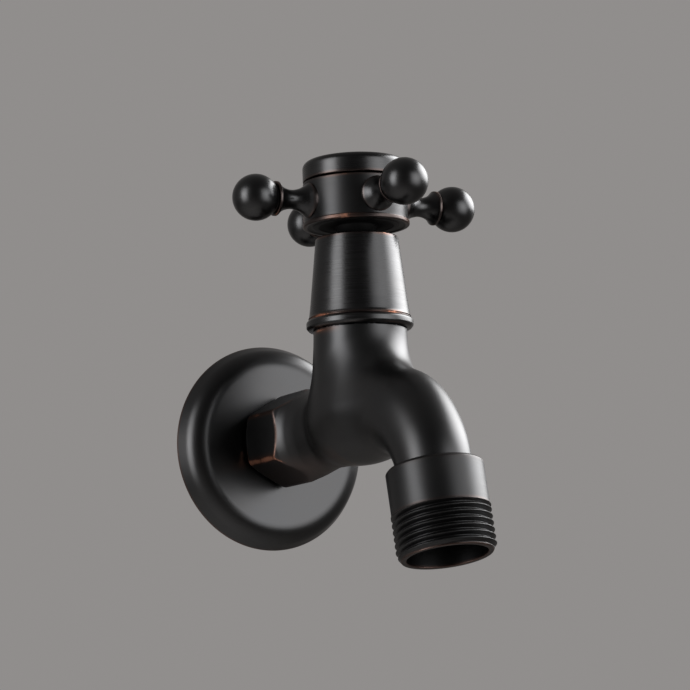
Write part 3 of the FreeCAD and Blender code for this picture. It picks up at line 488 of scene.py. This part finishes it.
def bonnet_sleeve():
    """Tapered sleeve with a bead over its foot and a web inside."""
    bead_root = BEAD_RADIUS - 0.6 * MM
    low = BEAD_HEIGHT - BEAD_HALF
    high = BEAD_HEIGHT + BEAD_HALF
    foot = NECK_HEIGHT + 7.35 * MM
    bore = 12.5 * MM
    guide = BONNET_TOP_RADIUS - 1.25 * MM
    web_bottom = NECK_HEIGHT + 10.25 * MM
    web_top = web_bottom + 3.5 * MM
    web_hole = 8.05 * MM
    rows = profile([
        (bore, NECK_HEIGHT, 0, 0),
        (NECK_TOP + 0.2 * MM, NECK_HEIGHT, 0.05 * MM, 0),
        (bead_root, low - 0.1 * MM, 0.2 * MM, 0.3),
        (BEAD_RADIUS, low + 0.55 * MM, 0.7 * MM, 0),
        (BEAD_RADIUS, high - 0.55 * MM, 0.7 * MM, 0),
        (bead_root, high, 0.1 * MM, 0.8),
        (bead_root - 0.25 * MM, high + 0.25 * MM, 0.15 * MM, 0.95),
        (bead_root, high + 0.5 * MM, 0.1 * MM, 0.7),
        (BONNET_FOOT_RADIUS + 0.45 * MM, high + 1.1 * MM, 1.2 * MM, 0),
        (BONNET_FOOT_RADIUS, foot, 6 * MM, 0),
        (BONNET_TOP_RADIUS, BONNET_TOP, 0.35 * MM, 0.62),
        (guide, BONNET_TOP, 0.3 * MM, 0.3),
        (guide, web_top, 0, 0),
        (web_hole, web_top, 0, 0),
        (web_hole, web_bottom, 0, 0),
        (bore - 1.5 * MM, web_bottom, 0, 0),
        (bore, foot, 0, 0),
    ])
    worn = ((-180, 30, 1.1), (-80, 16, 1.0), (130, 30, 0.7))
    return lathe("bonnet_sleeve", rows, ON_SPINDLE, worn=worn)


def handle_drum():
    """Drum over a thin skirt, with the pocket for screw and cap."""
    skirt_top = SKIRT_BOTTOM + SKIRT_THICKNESS
    boss = 9.45 * MM
    boss_bottom = SKIRT_BOTTOM - 5.6 * MM
    boss_top = BONNET_TOP - 0.6 * MM
    boss_neck = 5.6 * MM
    groove_floor = SKIRT_BOTTOM + 0.3 * MM
    ridge = SKIRT_BOTTOM + 0.1 * MM
    floor = SKIRT_BOTTOM + 3.1 * MM
    seat = floor + 1.4 * MM
    socket_floor = DRUM_TOP - 3.55 * MM
    spline = 4.06 * MM
    socket = 9.3 * MM
    screw_well = 5.6 * MM
    screw_hole = 2.3 * MM
    rows = profile([
        (spline, boss_bottom, 0.2 * MM, 0),
        (boss, boss_bottom, 0.3 * MM, 0),
        # The boss and the rings under the skirt carry painted shade, fading outward, for the shade between skirt
        # and bonnet
        (boss, boss_top, 0.4 * MM, UNLIT),
        (boss_neck, boss_top + 0.5 * MM, 1.0 * MM, UNLIT),
        (boss_neck, groove_floor, 0.5 * MM, 0.6 * UNLIT),
        (10.2 * MM, groove_floor, 0.15 * MM, 0.35 * UNLIT),
        (10.5 * MM, ridge, 0.15 * MM, 0.25 * UNLIT),
        (11.9 * MM, ridge, 0.15 * MM, 0.2 * UNLIT),
        (12.2 * MM, groove_floor, 0.15 * MM, 0.15 * UNLIT),
        (13.5 * MM, groove_floor, 0.15 * MM, 0.1 * UNLIT),
        (13.8 * MM, SKIRT_BOTTOM, 0.12 * MM, 0.3),
        (SKIRT_RADIUS, SKIRT_BOTTOM, 0.4 * MM, 0.6),
        (SKIRT_RADIUS, skirt_top, 0.2 * MM, 0.6),
        (DRUM_RADIUS, skirt_top + 0.12 * MM, 0.12 * MM, 0),
        (DRUM_RADIUS, DRUM_TOP, 0.25 * MM, 0.4),
        (socket, DRUM_TOP, 0.1 * MM, 0),
        (socket, socket_floor, 0, 0),
        (screw_well, socket_floor, 0, 0),
        (screw_well, seat, 0, 0),
        (screw_hole, seat, 0, 0),
        (screw_hole, floor, 0, 0),
        (spline, floor, 0, 0),
    ])
    worn = ((-135, 24, 1.1), (-205, 14, 0.95), (-45, 16, 0.9), (60, 40, 0.8))
    return lathe("handle_drum", rows, ON_SPINDLE, worn=worn)


def handle_button():
    """Cap over a shadow groove, rounded round its top, with a hollow plug that holds its ring."""
    bottom = DRUM_TOP + CAP_GROOVE
    plug_end = DRUM_TOP - 3.25 * MM
    ring_low = DRUM_TOP - 2.4 * MM
    ring_high = DRUM_TOP - 0.9 * MM
    ceiling = CAP_TOP - 2.65 * MM
    plug = 9.25 * MM
    ring_root = 8.0 * MM
    hollow = 7.0 * MM
    waist = DRUM_RADIUS - CAP_GROOVE_DEPTH
    rows = profile([
        (0, ceiling, 0, 0),
        (hollow, ceiling, 0, 0),
        (hollow, plug_end, 0, 0),
        (plug, plug_end, 0, 0),
        (plug, ring_low, 0, 0),
        (ring_root, ring_low, 0, 0),
        (ring_root, ring_high, 0, 0),
        (plug, ring_high, 0, 0),
        (plug, DRUM_TOP, 0, 0),
        (waist, DRUM_TOP, 0, 0),
        (waist, bottom, 0, 0),
        (DRUM_RADIUS, bottom, 0.25 * MM, 0.25),
        (DRUM_RADIUS, CAP_TOP, CAP_ROUND, 0),
        (0, CAP_TOP, 0, 0),
    ], closed=False)
    return lathe("handle_button", rows, ON_SPINDLE, closed=False)


def handle_arm(name, turn):
    """Turned arm with its stud, trumpet foot, neck, disc and ball."""
    foot_reach = BALL_REACH - math.sqrt(BALL_RADIUS ** 2 - BALL_FOOT ** 2)
    disc_outer = foot_reach - DISC_STEP
    disc_inner = disc_outer - DISC_THICKNESS
    base_top = DRUM_RADIUS + ARM_BASE_THICKNESS
    open_angle = math.pi - math.asin(BALL_FOOT / BALL_RADIUS)
    corners = [
        (0, STUD_INNER, 0, 0),
        (STUD_RADIUS, STUD_INNER, 0.2 * MM, 0),
        (STUD_RADIUS, DRUM_RADIUS, 0, 0),
        (ARM_BASE, DRUM_RADIUS, 0, 0.5),
        (ARM_BASE, base_top, 0.1 * MM, 0.5),
        (ARM_BASE - 0.95 * MM, base_top + 1.15 * MM, 1.8 * MM, 0),
        (ARM_BASE - 1.75 * MM, base_top + 2.5 * MM, 4 * MM, 0),
        (ARM_NECK, base_top + 4.6 * MM, 8 * MM, 0),
        (ARM_NECK + 0.12 * MM, disc_inner - 3.1 * MM, 6 * MM, 0),
        (ARM_NECK + 0.8 * MM, disc_inner - 1.4 * MM, 4 * MM, 0),
        (ARM_NECK + 1.75 * MM, disc_inner - 0.3 * MM, 1.5 * MM, 0),
        (DISC_RADIUS, disc_inner, 0.25 * MM, 0.5),
        (DISC_RADIUS, disc_outer, 0.22 * MM, 0.85),
        (BALL_FOOT, foot_reach, 0.08 * MM, 0.3),
    ]
    corners += arc_rows((0, BALL_REACH), BALL_RADIUS, open_angle, 0, BALL_STEPS)[1:]
    corners[-1] = (0, BALL_REACH + BALL_RADIUS, 0, 0)

    def on_drum(radius, height, angle):
        across = radius * np.sin(angle)
        on_face = (np.abs(height - DRUM_RADIUS) < 0.14 * MM) & (radius > STUD_RADIUS - 0.01 * MM)
        sink = DRUM_RADIUS - np.sqrt(DRUM_RADIUS ** 2 - across ** 2)
        return radius, np.where(on_face, height - sink, height)

    out = Matrix.Translation((0, SPINDLE_Y, ARM_HEIGHT)) @ Matrix.Rotation(math.radians(turn), 4, "Z")
    out = out @ Matrix.Rotation(math.radians(90), 4, "Y")
    rows = profile(corners, closed=False)
    worn = ((180, 60, 1.0), (20, 30, 0.9))
    return lathe(name + "_turned", rows, out, False, ARM_SEGMENTS, on_drum, worn)


def smooth_steps(x, places, values):
    """Value at x of a curve through the given places with flat ends and no overshoot."""
    places = np.array(places)
    values = np.array(values)
    steps = np.diff(places)
    slopes = np.diff(values) / steps
    tangents = np.zeros(len(places))
    same_way = slopes[:-1] * slopes[1:] > 0
    harmonic = 2 * slopes[:-1] * slopes[1:] / np.where(same_way, slopes[:-1] + slopes[1:], 1)
    tangents[1:-1] = np.where(same_way, harmonic, 0)
    i = np.clip(np.searchsorted(places, x) - 1, 0, len(steps) - 1)
    h = steps[i]
    t = np.clip((x - places[i]) / h, 0, 1)
    return (values[i] * (1 + 2 * t) * (1 - t) ** 2 + values[i + 1] * t ** 2 * (3 - 2 * t)
            + h * tangents[i] * t * (1 - t) ** 2 - h * tangents[i + 1] * t ** 2 * (1 - t))


def spout_frame():
    """Centre of the spout's bend in the plane of symmetry, as (y, z)."""
    up = -OUTLET_DOWN
    end = OUTLET_END + up * ADAPTOR_LENGTH
    return end.y + math.cos(TILT) * BEND_RADIUS, end.z - math.sin(TILT) * BEND_RADIUS


BEND_Y, BEND_Z = spout_frame()
RUN_Z = BEND_Z + BEND_RADIUS
BEND_ANGLE = math.pi / 2 - TILT


def tube_field(x, y, z):
    """Signed distance, nearly, to the barrel, its run under the neck, the bend and the spout's end."""
    reach = -y
    places = [HEX_END] + [HEX_END + (WAIST_REACH - HEX_END) * s[0] for s in SHOULDER]
    places += [WAIST_REACH, -SPINDLE_Y - RUN_LENGTH / 2, -SPINDLE_Y + RUN_LENGTH / 2, -BEND_Y]
    widths = [HEX_TURNED] + [HEX_FLAT + (WAIST_HALF_WIDTH - HEX_FLAT) * s[1] for s in SHOULDER]
    widths += [WAIST_HALF_WIDTH, RUN_HALF_WIDTH, SPOUT_RADIUS, SPOUT_RADIUS]
    heights = [HEX_TURNED] + [HEX_TURNED + (WAIST_HALF_HEIGHT - HEX_TURNED) * s[2] for s in SHOULDER]
    heights += [WAIST_HALF_HEIGHT, SPOUT_RADIUS, SPOUT_RADIUS, SPOUT_RADIUS]
    half_width = smooth_steps(reach, places, widths)
    half_height = smooth_steps(reach, places, heights)
    lift = smooth_steps(reach, [WAIST_REACH, -SPINDLE_Y + RUN_LENGTH / 2], [0, RUN_Z])
    from_centre = np.hypot(y - BEND_Y, z - BEND_Z)
    angle = np.arctan2(-(y - BEND_Y), z - BEND_Z)
    path = np.where(reach > -BEND_Y, -BEND_Y + BEND_RADIUS * angle, reach)
    hump = smooth_steps(path, HUMP_PLACES, [0.0, HUMP, 0.0])
    straight_v = z - lift - hump
    share = np.clip(angle / BEND_ANGLE, 0, 1)
    bend_radius = SPOUT_RADIUS + (SPOUT_END_RADIUS - SPOUT_RADIUS) * share ** SPOUT_TAPER_POWER
    in_bend = (angle > 0) & (angle < math.pi)
    outlet_v = (y - OUTLET_END.y) * -math.cos(TILT) + (z - OUTLET_END.z) * math.sin(TILT)
    past_bend = in_bend & (angle > BEND_ANGLE)
    v = np.where(in_bend, from_centre - BEND_RADIUS - hump, straight_v)
    v = np.where(past_bend, outlet_v, v)
    a = np.where(in_bend, bend_radius, half_width)
    b = np.where(in_bend, bend_radius, half_height) + hump
    ratio = np.sqrt((x / a) ** 2 + (v / b) ** 2)
    return (ratio - 1) * np.minimum(a, b)


def neck_field(x, y, z):
    """Signed distance, nearly, to the neck and the round chamber below it."""
    out = np.hypot(x, y - SPINDLE_Y)
    radius = smooth_steps(z, [NECK_HEIGHT - 1.6 * NECK_TAPER, NECK_HEIGHT], [NECK_BASE, NECK_TOP])
    deep = np.clip(BULB_TOP - z, 0, None)
    ratio = np.sqrt((out / radius) ** 2 + (deep / BULB_DEPTH) ** 2)
    return (ratio - 1) * radius


def slope_of(field, x, y, z):
    """Direction in which a field rises, as three parts of a unit vector."""
    step = FIELD_STEP
    gx = field(x + step, y, z) - field(x - step, y, z)
    gy = field(x, y + step, z) - field(x, y - step, z)
    gz = field(x, y, z + step) - field(x, y, z - step)
    size = np.sqrt(gx ** 2 + gy ** 2 + gz ** 2) + 1e-12
    return gx / size, gy / size, gz / size


def casting_field(x, y, z):
    """Tube and neck flowing into each other, widely where the spout leaves and closely at the back."""
    tube = tube_field(x, y, z)
    neck = neck_field(x, y, z)
    forward = smooth_steps(SPINDLE_Y - y, BACK_TO_FRONT, [0.0, 1.0])
    back = smooth_steps(z, BACK_HEIGHTS, [FOOT_BLEND, BACK_BLEND])
    front = smooth_steps(z, FRONT_HEIGHTS, [FOOT_BLEND, SIDE_BLEND, SADDLE_BLEND, SIDE_BLEND])
    width = back + (front - back) * forward
    near = np.clip(width - np.abs(tube - neck), 0, None)
    return np.minimum(tube, neck) - near ** 2 / (4 * width)


def round_max(a, b, width):
    """Larger of two fields, with the edge between them rounded."""
    near = np.clip(width - np.abs(a - b), 0, None)
    return np.maximum(a, b) + near ** 2 / (4 * width)


def flats_field(x, z):
    """Distance outside the hexagon's flats, with two vertices up and down."""
    sides = [x * math.cos(a) + z * math.sin(a) for a in HEX_TURNS]
    worst = np.abs(sides[0])
    for side in sides[1:]:
        worst = round_max(worst, np.abs(side), HEX_EDGE)
    return worst - HEX_FLAT


def rear_cone(x, y, z):
    """Distance outside the turned chamfer at the hexagon's rear."""
    radius = HEX_CHAMFER_START + HEX_CHAMFER_SLOPE * (-y - HEX_START)
    return (np.hypot(x, z) - radius) / math.hypot(1, HEX_CHAMFER_SLOPE)


def body_field(x, y, z):
    """Casting with its hexagon, ends and waterways."""
    reach = -y
    outer = casting_field(x, y, z)
    hexagon = flats_field(x, z) - 3 * np.clip(reach - FLATS_REACH, 0, None)
    outer = round_max(outer, hexagon, HEX_EDGE)
    out = np.hypot(x, z)
    outer = round_max(outer, np.where(reach < HEX_END, rear_cone(x, y, z), -1), HEX_EDGE)
    outer = np.maximum(outer, HEX_START - reach)
    outer = np.maximum(outer, z - NECK_HEIGHT)
    up_outlet = (y - OUTLET_END.y) * math.sin(TILT) + (z - OUTLET_END.z) * math.cos(TILT)
    across_outlet = (y - OUTLET_END.y) * math.cos(TILT) - (z - OUTLET_END.z) * math.sin(TILT)
    beside_outlet = np.hypot(x, across_outlet)
    below_bend = (y < BEND_Y) & (z < BEND_Z + BEND_RADIUS / 2)
    end = ADAPTOR_LENGTH - SPOUT_THREAD_LENGTH - up_outlet
    sleeve = np.where(up_outlet < ADAPTOR_LENGTH, beside_outlet - SPOUT_THREAD_RADIUS, -1)
    outer = np.where(below_bend, np.maximum(np.maximum(outer, end), sleeve), outer)
    inlet = np.maximum(out - INLET_BORE, reach - WAIST_REACH)
    chamber = np.maximum(np.hypot(x, y - SPINDLE_Y) - NECK_BORE, NECK_BORE_BOTTOM - z)
    waterway = np.where(below_bend, beside_outlet - SPOUT_BORE, 1)
    waterway = np.maximum(waterway, up_outlet - ADAPTOR_LENGTH)
    for bore in (inlet, chamber, waterway):
        outer = np.maximum(outer, -bore)
    return outer


def surface_net(field, low, high, voxel):
    """Quads round the zero surface of a field, one corner per voxel that it crosses."""
    counts = [int(math.ceil((high[i] - low[i]) / voxel)) + 1 for i in range(3)]
    axes = [low[i] + voxel * np.arange(counts[i]) for i in range(3)]
    x, y, z = np.meshgrid(*axes, indexing="ij")
    values = field(x, y, z)
    inside = values < 0
    cells = [n - 1 for n in counts]
    total = np.zeros(cells + [3])
    hits = np.zeros(cells)
    for axis in range(3):
        for first in (0, 1):
            for second in (0, 1):
                shift = [0, 0, 0]
                others = [i for i in range(3) if i != axis]
                shift[others[0]] = first
                shift[others[1]] = second
                near = tuple(slice(shift[i], shift[i] + cells[i]) for i in range(3))
                step = list(shift)
                step[axis] += 1
                far = tuple(slice(step[i], step[i] + cells[i]) for i in range(3))
                cross = inside[near] != inside[far]
                share = values[near] / np.where(cross, values[near] - values[far], 1)
                corner = [np.full(cells, float(shift[i])) for i in range(3)]
                corner[axis] = share
                for i in range(3):
                    total[..., i] += np.where(cross, corner[i], 0)
                hits += cross
    used = hits > 0
    number = -np.ones(cells, int)
    number[used] = np.arange(used.sum())
    where = np.argwhere(used)
    points = np.array(low) + voxel * (where + total[used] / hits[used][:, None])
    quads = []
    for axis in range(3):
        step = [0, 0, 0]
        step[axis] = 1
        core = [slice(1, cells[i]) for i in range(3)]
        core[axis] = slice(0, cells[axis])
        near = tuple(core)
        far = tuple(slice(s.start + step[i], s.stop + step[i]) for i, s in enumerate(core))
        cross = inside[near] != inside[far]
        spots = np.argwhere(cross) + np.array([s.start for s in core])
        out_first = inside[near][cross]
        b, c = [(1, 2), (2, 0), (0, 1)][axis]
        shift_b = np.zeros(3, int)
        shift_b[b] = 1
        shift_c = np.zeros(3, int)
        shift_c[c] = 1
        ring = [spots - shift_b - shift_c, spots - shift_c, spots, spots - shift_b]
        quad = np.stack([number[tuple(r.T)] for r in ring], axis=1)
        quad[~out_first] = quad[~out_first][:, ::-1]
        quads.append(quad)
    return points, np.concatenate(quads)


def settle(field, points):
    """Moves points on to the zero surface and gives the outward directions there."""
    step = FIELD_STEP
    for _ in range(SETTLE_ROUNDS):
        x, y, z = points.T
        gx, gy, gz = slope_of(field, x, y, z)
        here = field(x, y, z)
        rise = (field(x + gx * step, y + gy * step, z + gz * step) - here) / step
        move = np.clip(here / np.clip(rise, 0.3, None), -0.3 * VOXEL, 0.3 * VOXEL)
        points = points - np.stack([gx, gy, gz], axis=1) * move[:, None]
    x, y, z = points.T
    normals = np.stack(slope_of(field, x, y, z), axis=1)
    return points, normals


def body_casting():
    """Hexagon, barrel, neck and spout as one smooth casting."""
    side = NECK_BASE + BACK_BLEND / 2
    low = (-side, BEND_Y - BEND_RADIUS - SPOUT_RADIUS - 3 * VOXEL, OUTLET_END.z + 0.4 * ADAPTOR_LENGTH)
    high = (side, -HEX_START + 3 * VOXEL, NECK_HEIGHT + 3 * VOXEL)
    points, quads = surface_net(body_field, low, high, VOXEL)
    points, normals = settle(body_field, points)
    wear_and_shade = casting_wear_and_shade(points)
    return make_object("body_casting", points, quads.tolist(), Matrix.Identity(4), wear_and_shade, normals)


def casting_wear_and_shade(points):
    """Wear on the hexagon's edges, most at the lower vertex on the left, and on the top of the neck, with painted
    shade on the hexagon's rear in the gap to the flange.
    """
    x, y, z = points.T
    reach = -y
    sides = np.sort(np.abs([x * math.cos(a) + z * math.sin(a) for a in HEX_TURNS]), axis=0)
    between_flats = sides[2] - sides[1]
    past_flats = flats_field(x, z)
    flat_end = casting_field(x, y, z) - past_flats
    behind = rear_cone(x, y, z) - past_flats
    on_flats = np.clip((HEX_END + 4 * MM - reach) / MM, 0, 1)
    turn = np.degrees(np.arctan2(z, x)) % 360
    low_left = np.exp(-((turn - WORN_VERTEX) / WORN_VERTEX_SPREAD) ** 2)
    vertex = np.exp(-(between_flats / ((0.3 + 0.9 * low_left) * MM)) ** 2) * (flat_end < 0.2 * MM)
    arc = np.exp(-(flat_end / WORN_WIDTH) ** 2) * np.clip((WORN_ARC_END - turn) / WORN_ARC_FADE, 0.3, 1)
    rear = np.exp(-(behind / WORN_WIDTH) ** 2)
    edge = np.maximum(np.maximum(vertex, arc), rear) * on_flats
    wear_and_shade = edge * (0.62 + 0.5 * low_left)
    azimuth = np.degrees(np.arctan2(x, SPINDLE_Y - y))
    rim = np.exp(-((z - NECK_HEIGHT + 0.8 * MM) / (0.7 * MM)) ** 2)
    rim = rim * (np.hypot(x, y - SPINDLE_Y) > NECK_TOP - MM)
    rim = rim * np.exp(-((azimuth - NECK_WEAR_AZIMUTH) / NECK_WEAR_SPREAD) ** 2)
    below = 0.25 * np.clip((-z - 6 * MM) / (4 * MM), 0, 1) * (reach < -SPINDLE_Y)
    wear_and_shade = np.maximum(np.maximum(wear_and_shade, 0.95 * rim), below)
    # Painted shade: the hexagon's rear, in the gap to the flange, is made black, away from the worn lower vertex
    in_gap = (behind > -0.35 * MM) & (reach < HEX_START + 2 * MM) & (low_left < 0.3)
    return np.where(in_gap, UNLIT, wear_and_shade)


def add_node(tree, kind, values=None, **settings):
    """Adds a shader node. values sets or joins its inputs by name."""
    made = tree.nodes.new(kind)
    for name, value in settings.items():
        setattr(made, name, value)
    for name, value in (values or {}).items():
        if isinstance(value, bpy.types.NodeSocket):
            tree.links.new(value, made.inputs[name])
        else:
            made.inputs[name].default_value = value
    return made


def new_finish(name):
    """Empty material, with its node tree and its main shader."""
    made = bpy.data.materials.new(name)
    made.use_nodes = True
    return made, made.node_tree, made.node_tree.nodes["Principled BSDF"]


def noise(tree, place, scale, detail, **values):
    """Noise texture at a place."""
    values = {"Vector": place, "Scale": scale, "Detail": detail, **values}
    return add_node(tree, "ShaderNodeTexNoise", values).outputs["Fac"]


def blend(tree, share, a, b, data_type="RGBA"):
    """Mix of two colours, or of two numbers."""
    values = {"Factor": share, "A": a, "B": b}
    return add_node(tree, "ShaderNodeMix", values, data_type=data_type).outputs["Result"]


def scale_add(tree, value, factor, added):
    """Value times a factor, plus another value."""
    values = {0: value, 1: factor, 2: added}
    return add_node(tree, "ShaderNodeMath", values, operation="MULTIPLY_ADD").outputs[0]


def turned_place(tree, place):
    """Place drawn out round the axis, in which noise makes turning marks."""
    apart = add_node(tree, "ShaderNodeSeparateXYZ", {"Vector": place})
    x, y, z = apart.outputs
    flat = add_node(tree, "ShaderNodeCombineXYZ", {"X": x, "Y": y})
    radius = add_node(tree, "ShaderNodeVectorMath", {0: flat.outputs[0]}, operation="LENGTH")
    along = add_node(tree, "ShaderNodeMath", {0: z, 1: radius.outputs["Value"]}, operation="ADD")
    rings = add_node(tree, "ShaderNodeCombineXYZ", {"X": x, "Y": y, "Z": along.outputs[0]})
    drawn = add_node(tree, "ShaderNodeMapping", {"Vector": rings.outputs[0], "Scale": MARK_SCALES})
    return drawn.outputs[0]


def plated_bronze(name, streaks, roughness, shade=1.0):
    """Black plate over brass, with turning marks of the given strength and copper on worn edges, and painted
    shade, black and without reflection, where the value falls below zero.
    """
    made, tree, shader = new_finish(name)
    place = add_node(tree, "ShaderNodeAttribute", attribute_name="spot").outputs["Vector"]
    edge = add_node(tree, "ShaderNodeAttribute", attribute_name="wear_and_shade").outputs["Fac"]
    marks = noise(tree, turned_place(tree, place), 1.0, 3.0)
    grain = noise(tree, place, 2400.0, 2.0)
    clouds = noise(tree, place, 90.0, 4.0)
    patches = noise(tree, place, 230.0, 2.0)
    chips = noise(tree, place, 1300.0, 4.0, Roughness=0.7)
    worn = scale_add(tree, chips, 0.9, scale_add(tree, patches, 1.3, edge))
    copper_share = add_node(tree, "ShaderNodeMapRange", {
        "Value": worn, "From Min": COPPER_FROM, "From Max": COPPER_FULL, "To Max": 0.9,
    }).outputs[0]
    # Painted shade: values below zero turn the surface black, rough and without reflection tint
    painted_shade = add_node(tree, "ShaderNodeMapRange", {
        "Value": edge, "From Min": UNLIT, "From Max": 0.0, "To Min": 1.0, "To Max": 0.0,
    }).outputs[0]
    dark = [part * shade for part in PLATE_DARK] + [1]
    pale = [part * shade for part in PLATE_PALE] + [1]
    rubbed = blend(tree, edge, blend(tree, clouds, dark, pale), RUBBED)
    colour = blend(tree, copper_share, blend(tree, painted_shade, rubbed, PAINTED_SHADE_BLACK), COPPER)
    rough_marks = add_node(tree, "ShaderNodeMapRange", {
        "Value": marks, "From Min": 0.3, "From Max": 0.7,
        "To Min": roughness - 0.05 - 0.03 * streaks, "To Max": roughness - 0.05 + 0.06 * streaks,
    }).outputs[0]
    rough = scale_add(tree, clouds, 0.10, rough_marks)
    rough = blend(tree, copper_share, rough, COPPER_ROUGHNESS, "FLOAT")
    rough = blend(tree, painted_shade, rough, PAINTED_SHADE_ROUGHNESS, "FLOAT")
    height = scale_add(tree, marks, 2.5 * streaks, grain)
    bump = add_node(tree, "ShaderNodeBump", {"Height": height, "Strength": 0.1, "Distance": 0.01 * MM})
    tree.links.new(colour, shader.inputs["Base Color"])
    tree.links.new(rough, shader.inputs["Roughness"])
    tree.links.new(bump.outputs[0], shader.inputs["Normal"])
    tree.links.new(blend(tree, painted_shade, PLATE_TINT, NO_TINT), shader.inputs["Specular Tint"])
    shader.inputs["Metallic"].default_value = 1.0
    return made


def plain_finish(name, low, high, roughness, metallic=0.0):
    """Finish of an inside piece: two tones in clouds, a fine grain and an uneven roughness."""
    made, tree, shader = new_finish(name)
    place = add_node(tree, "ShaderNodeTexCoord").outputs["Object"]
    clouds = noise(tree, place, 400.0, 5.0)
    grain = noise(tree, place, 3200.0, 2.0)
    bump = add_node(tree, "ShaderNodeBump", {"Height": grain, "Strength": 0.05, "Distance": 0.05 * MM})
    tree.links.new(blend(tree, clouds, (*low, 1), (*high, 1)), shader.inputs["Base Color"])
    tree.links.new(scale_add(tree, grain, 0.25, roughness - 0.12), shader.inputs["Roughness"])
    tree.links.new(bump.outputs[0], shader.inputs["Normal"])
    shader.inputs["Metallic"].default_value = metallic
    return made


def dress_inside():
    """Gives each kept node the finish of its slot."""
    finishes = {
        "bare_brass": plain_finish("turned_brass", (0.70, 0.50, 0.23), (0.80, 0.60, 0.30), 0.28, 1.0),
        "steel": plain_finish("stainless_steel", (0.52, 0.52, 0.52), (0.66, 0.66, 0.66), 0.27, 1.0),
        "ceramic": plain_finish("lapped_ceramic", (0.86, 0.84, 0.80), (0.93, 0.91, 0.87), 0.2),
        "rubber": plain_finish("moulded_rubber", (0.018, 0.018, 0.018), (0.04, 0.04, 0.04), 0.6),
        "white_plastic": plain_finish("turned_plastic", (0.78, 0.78, 0.75), (0.86, 0.86, 0.84), 0.45),
    }
    for part in frame["record"]["subparts"]:
        if part["material_slot"] in finishes:
            node = frame["nodes"][part["node"]]
            node.data.materials.clear()
            node.data.materials.append(finishes[part["material_slot"]])


def build_pieces():
    """Makes each outside piece and sets it in the place of its node."""
    cast = plated_bronze("bronze_cast", 0.0, 0.35)
    satin = plated_bronze("bronze_satin", 0.1, 0.30)
    smooth = plated_bronze("bronze_smooth", 0.0, 0.29)
    turned = plated_bronze("bronze_turned", 0.45, 0.37, 0.8)
    brushed = plated_bronze("bronze_brushed", 0.75, 0.27)
    dress(body_casting(), "body", "tap_body", cast)
    dress(inlet_spigot(), "body", "tap_body", turned)
    dress(wall_flange(), "wall_flange", "tap_body", satin)
    dress(outlet_collar(), "outlet_adaptor", "tap_body", turned)
    dress(bonnet_sleeve(), "bonnet", "tap_body", brushed)
    dress(handle_drum(), "handle_hub", "handle", turned)
    dress(handle_button(), "handle_cap", "handle", brushed)
    for i, name in enumerate(ARM_NAMES):
        dress(handle_arm(name, REST_ANGLE + 90 * i), name, "handle", smooth)


def softbox(name, azimuth, elevation, width, height, radiance):
    """Softbox with a grid that faces the tap, with azimuth 0 in front of the wall and 90 on the right."""
    data = bpy.data.lights.new(name, "AREA")
    data.shape = "RECTANGLE"
    data.size = width
    data.size_y = height
    data.spread = 2 * GRID_ANGLE
    grid_gain = math.tan(GRID_ANGLE) / (math.tan(GRID_ANGLE) - GRID_ANGLE)
    data.energy = radiance * math.pi * width * height / grid_gain
    lamp = bpy.data.objects.new(name, data)
    a = math.radians(azimuth)
    e = math.radians(elevation)
    toward = Vector((math.sin(a) * math.cos(e), -math.cos(a) * math.cos(e), math.sin(e)))
    lamp.location = TAP_MIDDLE + toward * LAMP_DISTANCE
    lamp.rotation_euler = toward.to_track_quat("Z", "Y").to_euler()
    lamp.visible_camera = False
    bpy.context.scene.collection.objects.link(lamp)


def light_studio():
    """Softboxes, and a room that is lighter behind the wall's plane."""
    for box in SOFTBOXES:
        softbox(*box)
    world = bpy.data.worlds.new("room")
    bpy.context.scene.world = world
    world.use_nodes = True
    tree = world.node_tree
    place = add_node(tree, "ShaderNodeTexCoord").outputs["Generated"]
    split = add_node(tree, "ShaderNodeSeparateXYZ", {"Vector": place})
    depth = add_node(tree, "ShaderNodeMapRange", {
        "Value": split.outputs["Y"], "From Min": ROOM_DEPTHS[0], "From Max": ROOM_DEPTHS[1],
        "To Min": ROOM_STRENGTHS[0], "To Max": ROOM_STRENGTHS[1],
    }, interpolation_type="SMOOTHSTEP")
    tree.links.new(depth.outputs[0], tree.nodes["Background"].inputs["Strength"])
    tree.nodes["Background"].inputs["Color"].default_value = ROOM_COLOUR


def make_floor():
    """Pale floor under the tap."""
    half = FLOOR_HALF
    points = np.array([(-half, -half, 0), (half, -half, 0), (half, half, 0), (-half, half, 0)])
    floor = make_object("floor", points, [(0, 1, 2, 3)], Matrix.Translation((0, 0, FLOOR_HEIGHT)))
    made, _, shader = new_finish("pale_floor")
    shader.inputs["Base Color"].default_value = FLOOR_COLOUR
    shader.inputs["Roughness"].default_value = 0.9
    floor.data.materials.append(made)


def make_camera():
    """Camera at the photograph's place, looking up at the tap from the left."""
    data = bpy.data.cameras.new("camera")
    data.sensor_width = SENSOR_WIDTH
    data.lens = LENS
    camera = bpy.data.objects.new("camera", data)
    turn = Matrix.Rotation(CAMERA_TURN, 4, "Z")
    tip = Matrix.Rotation(CAMERA_TIP, 4, "X")
    roll = Matrix.Rotation(CAMERA_ROLL, 4, "Z")
    camera.matrix_world = Matrix.Translation(CAMERA_PLACE) @ turn @ tip @ roll
    bpy.context.scene.collection.objects.link(camera)
    bpy.context.scene.camera = camera


build_pieces()
dress_inside()
make_floor()
light_studio()
make_camera()
bpy.context.scene.view_settings.view_transform = "Standard"
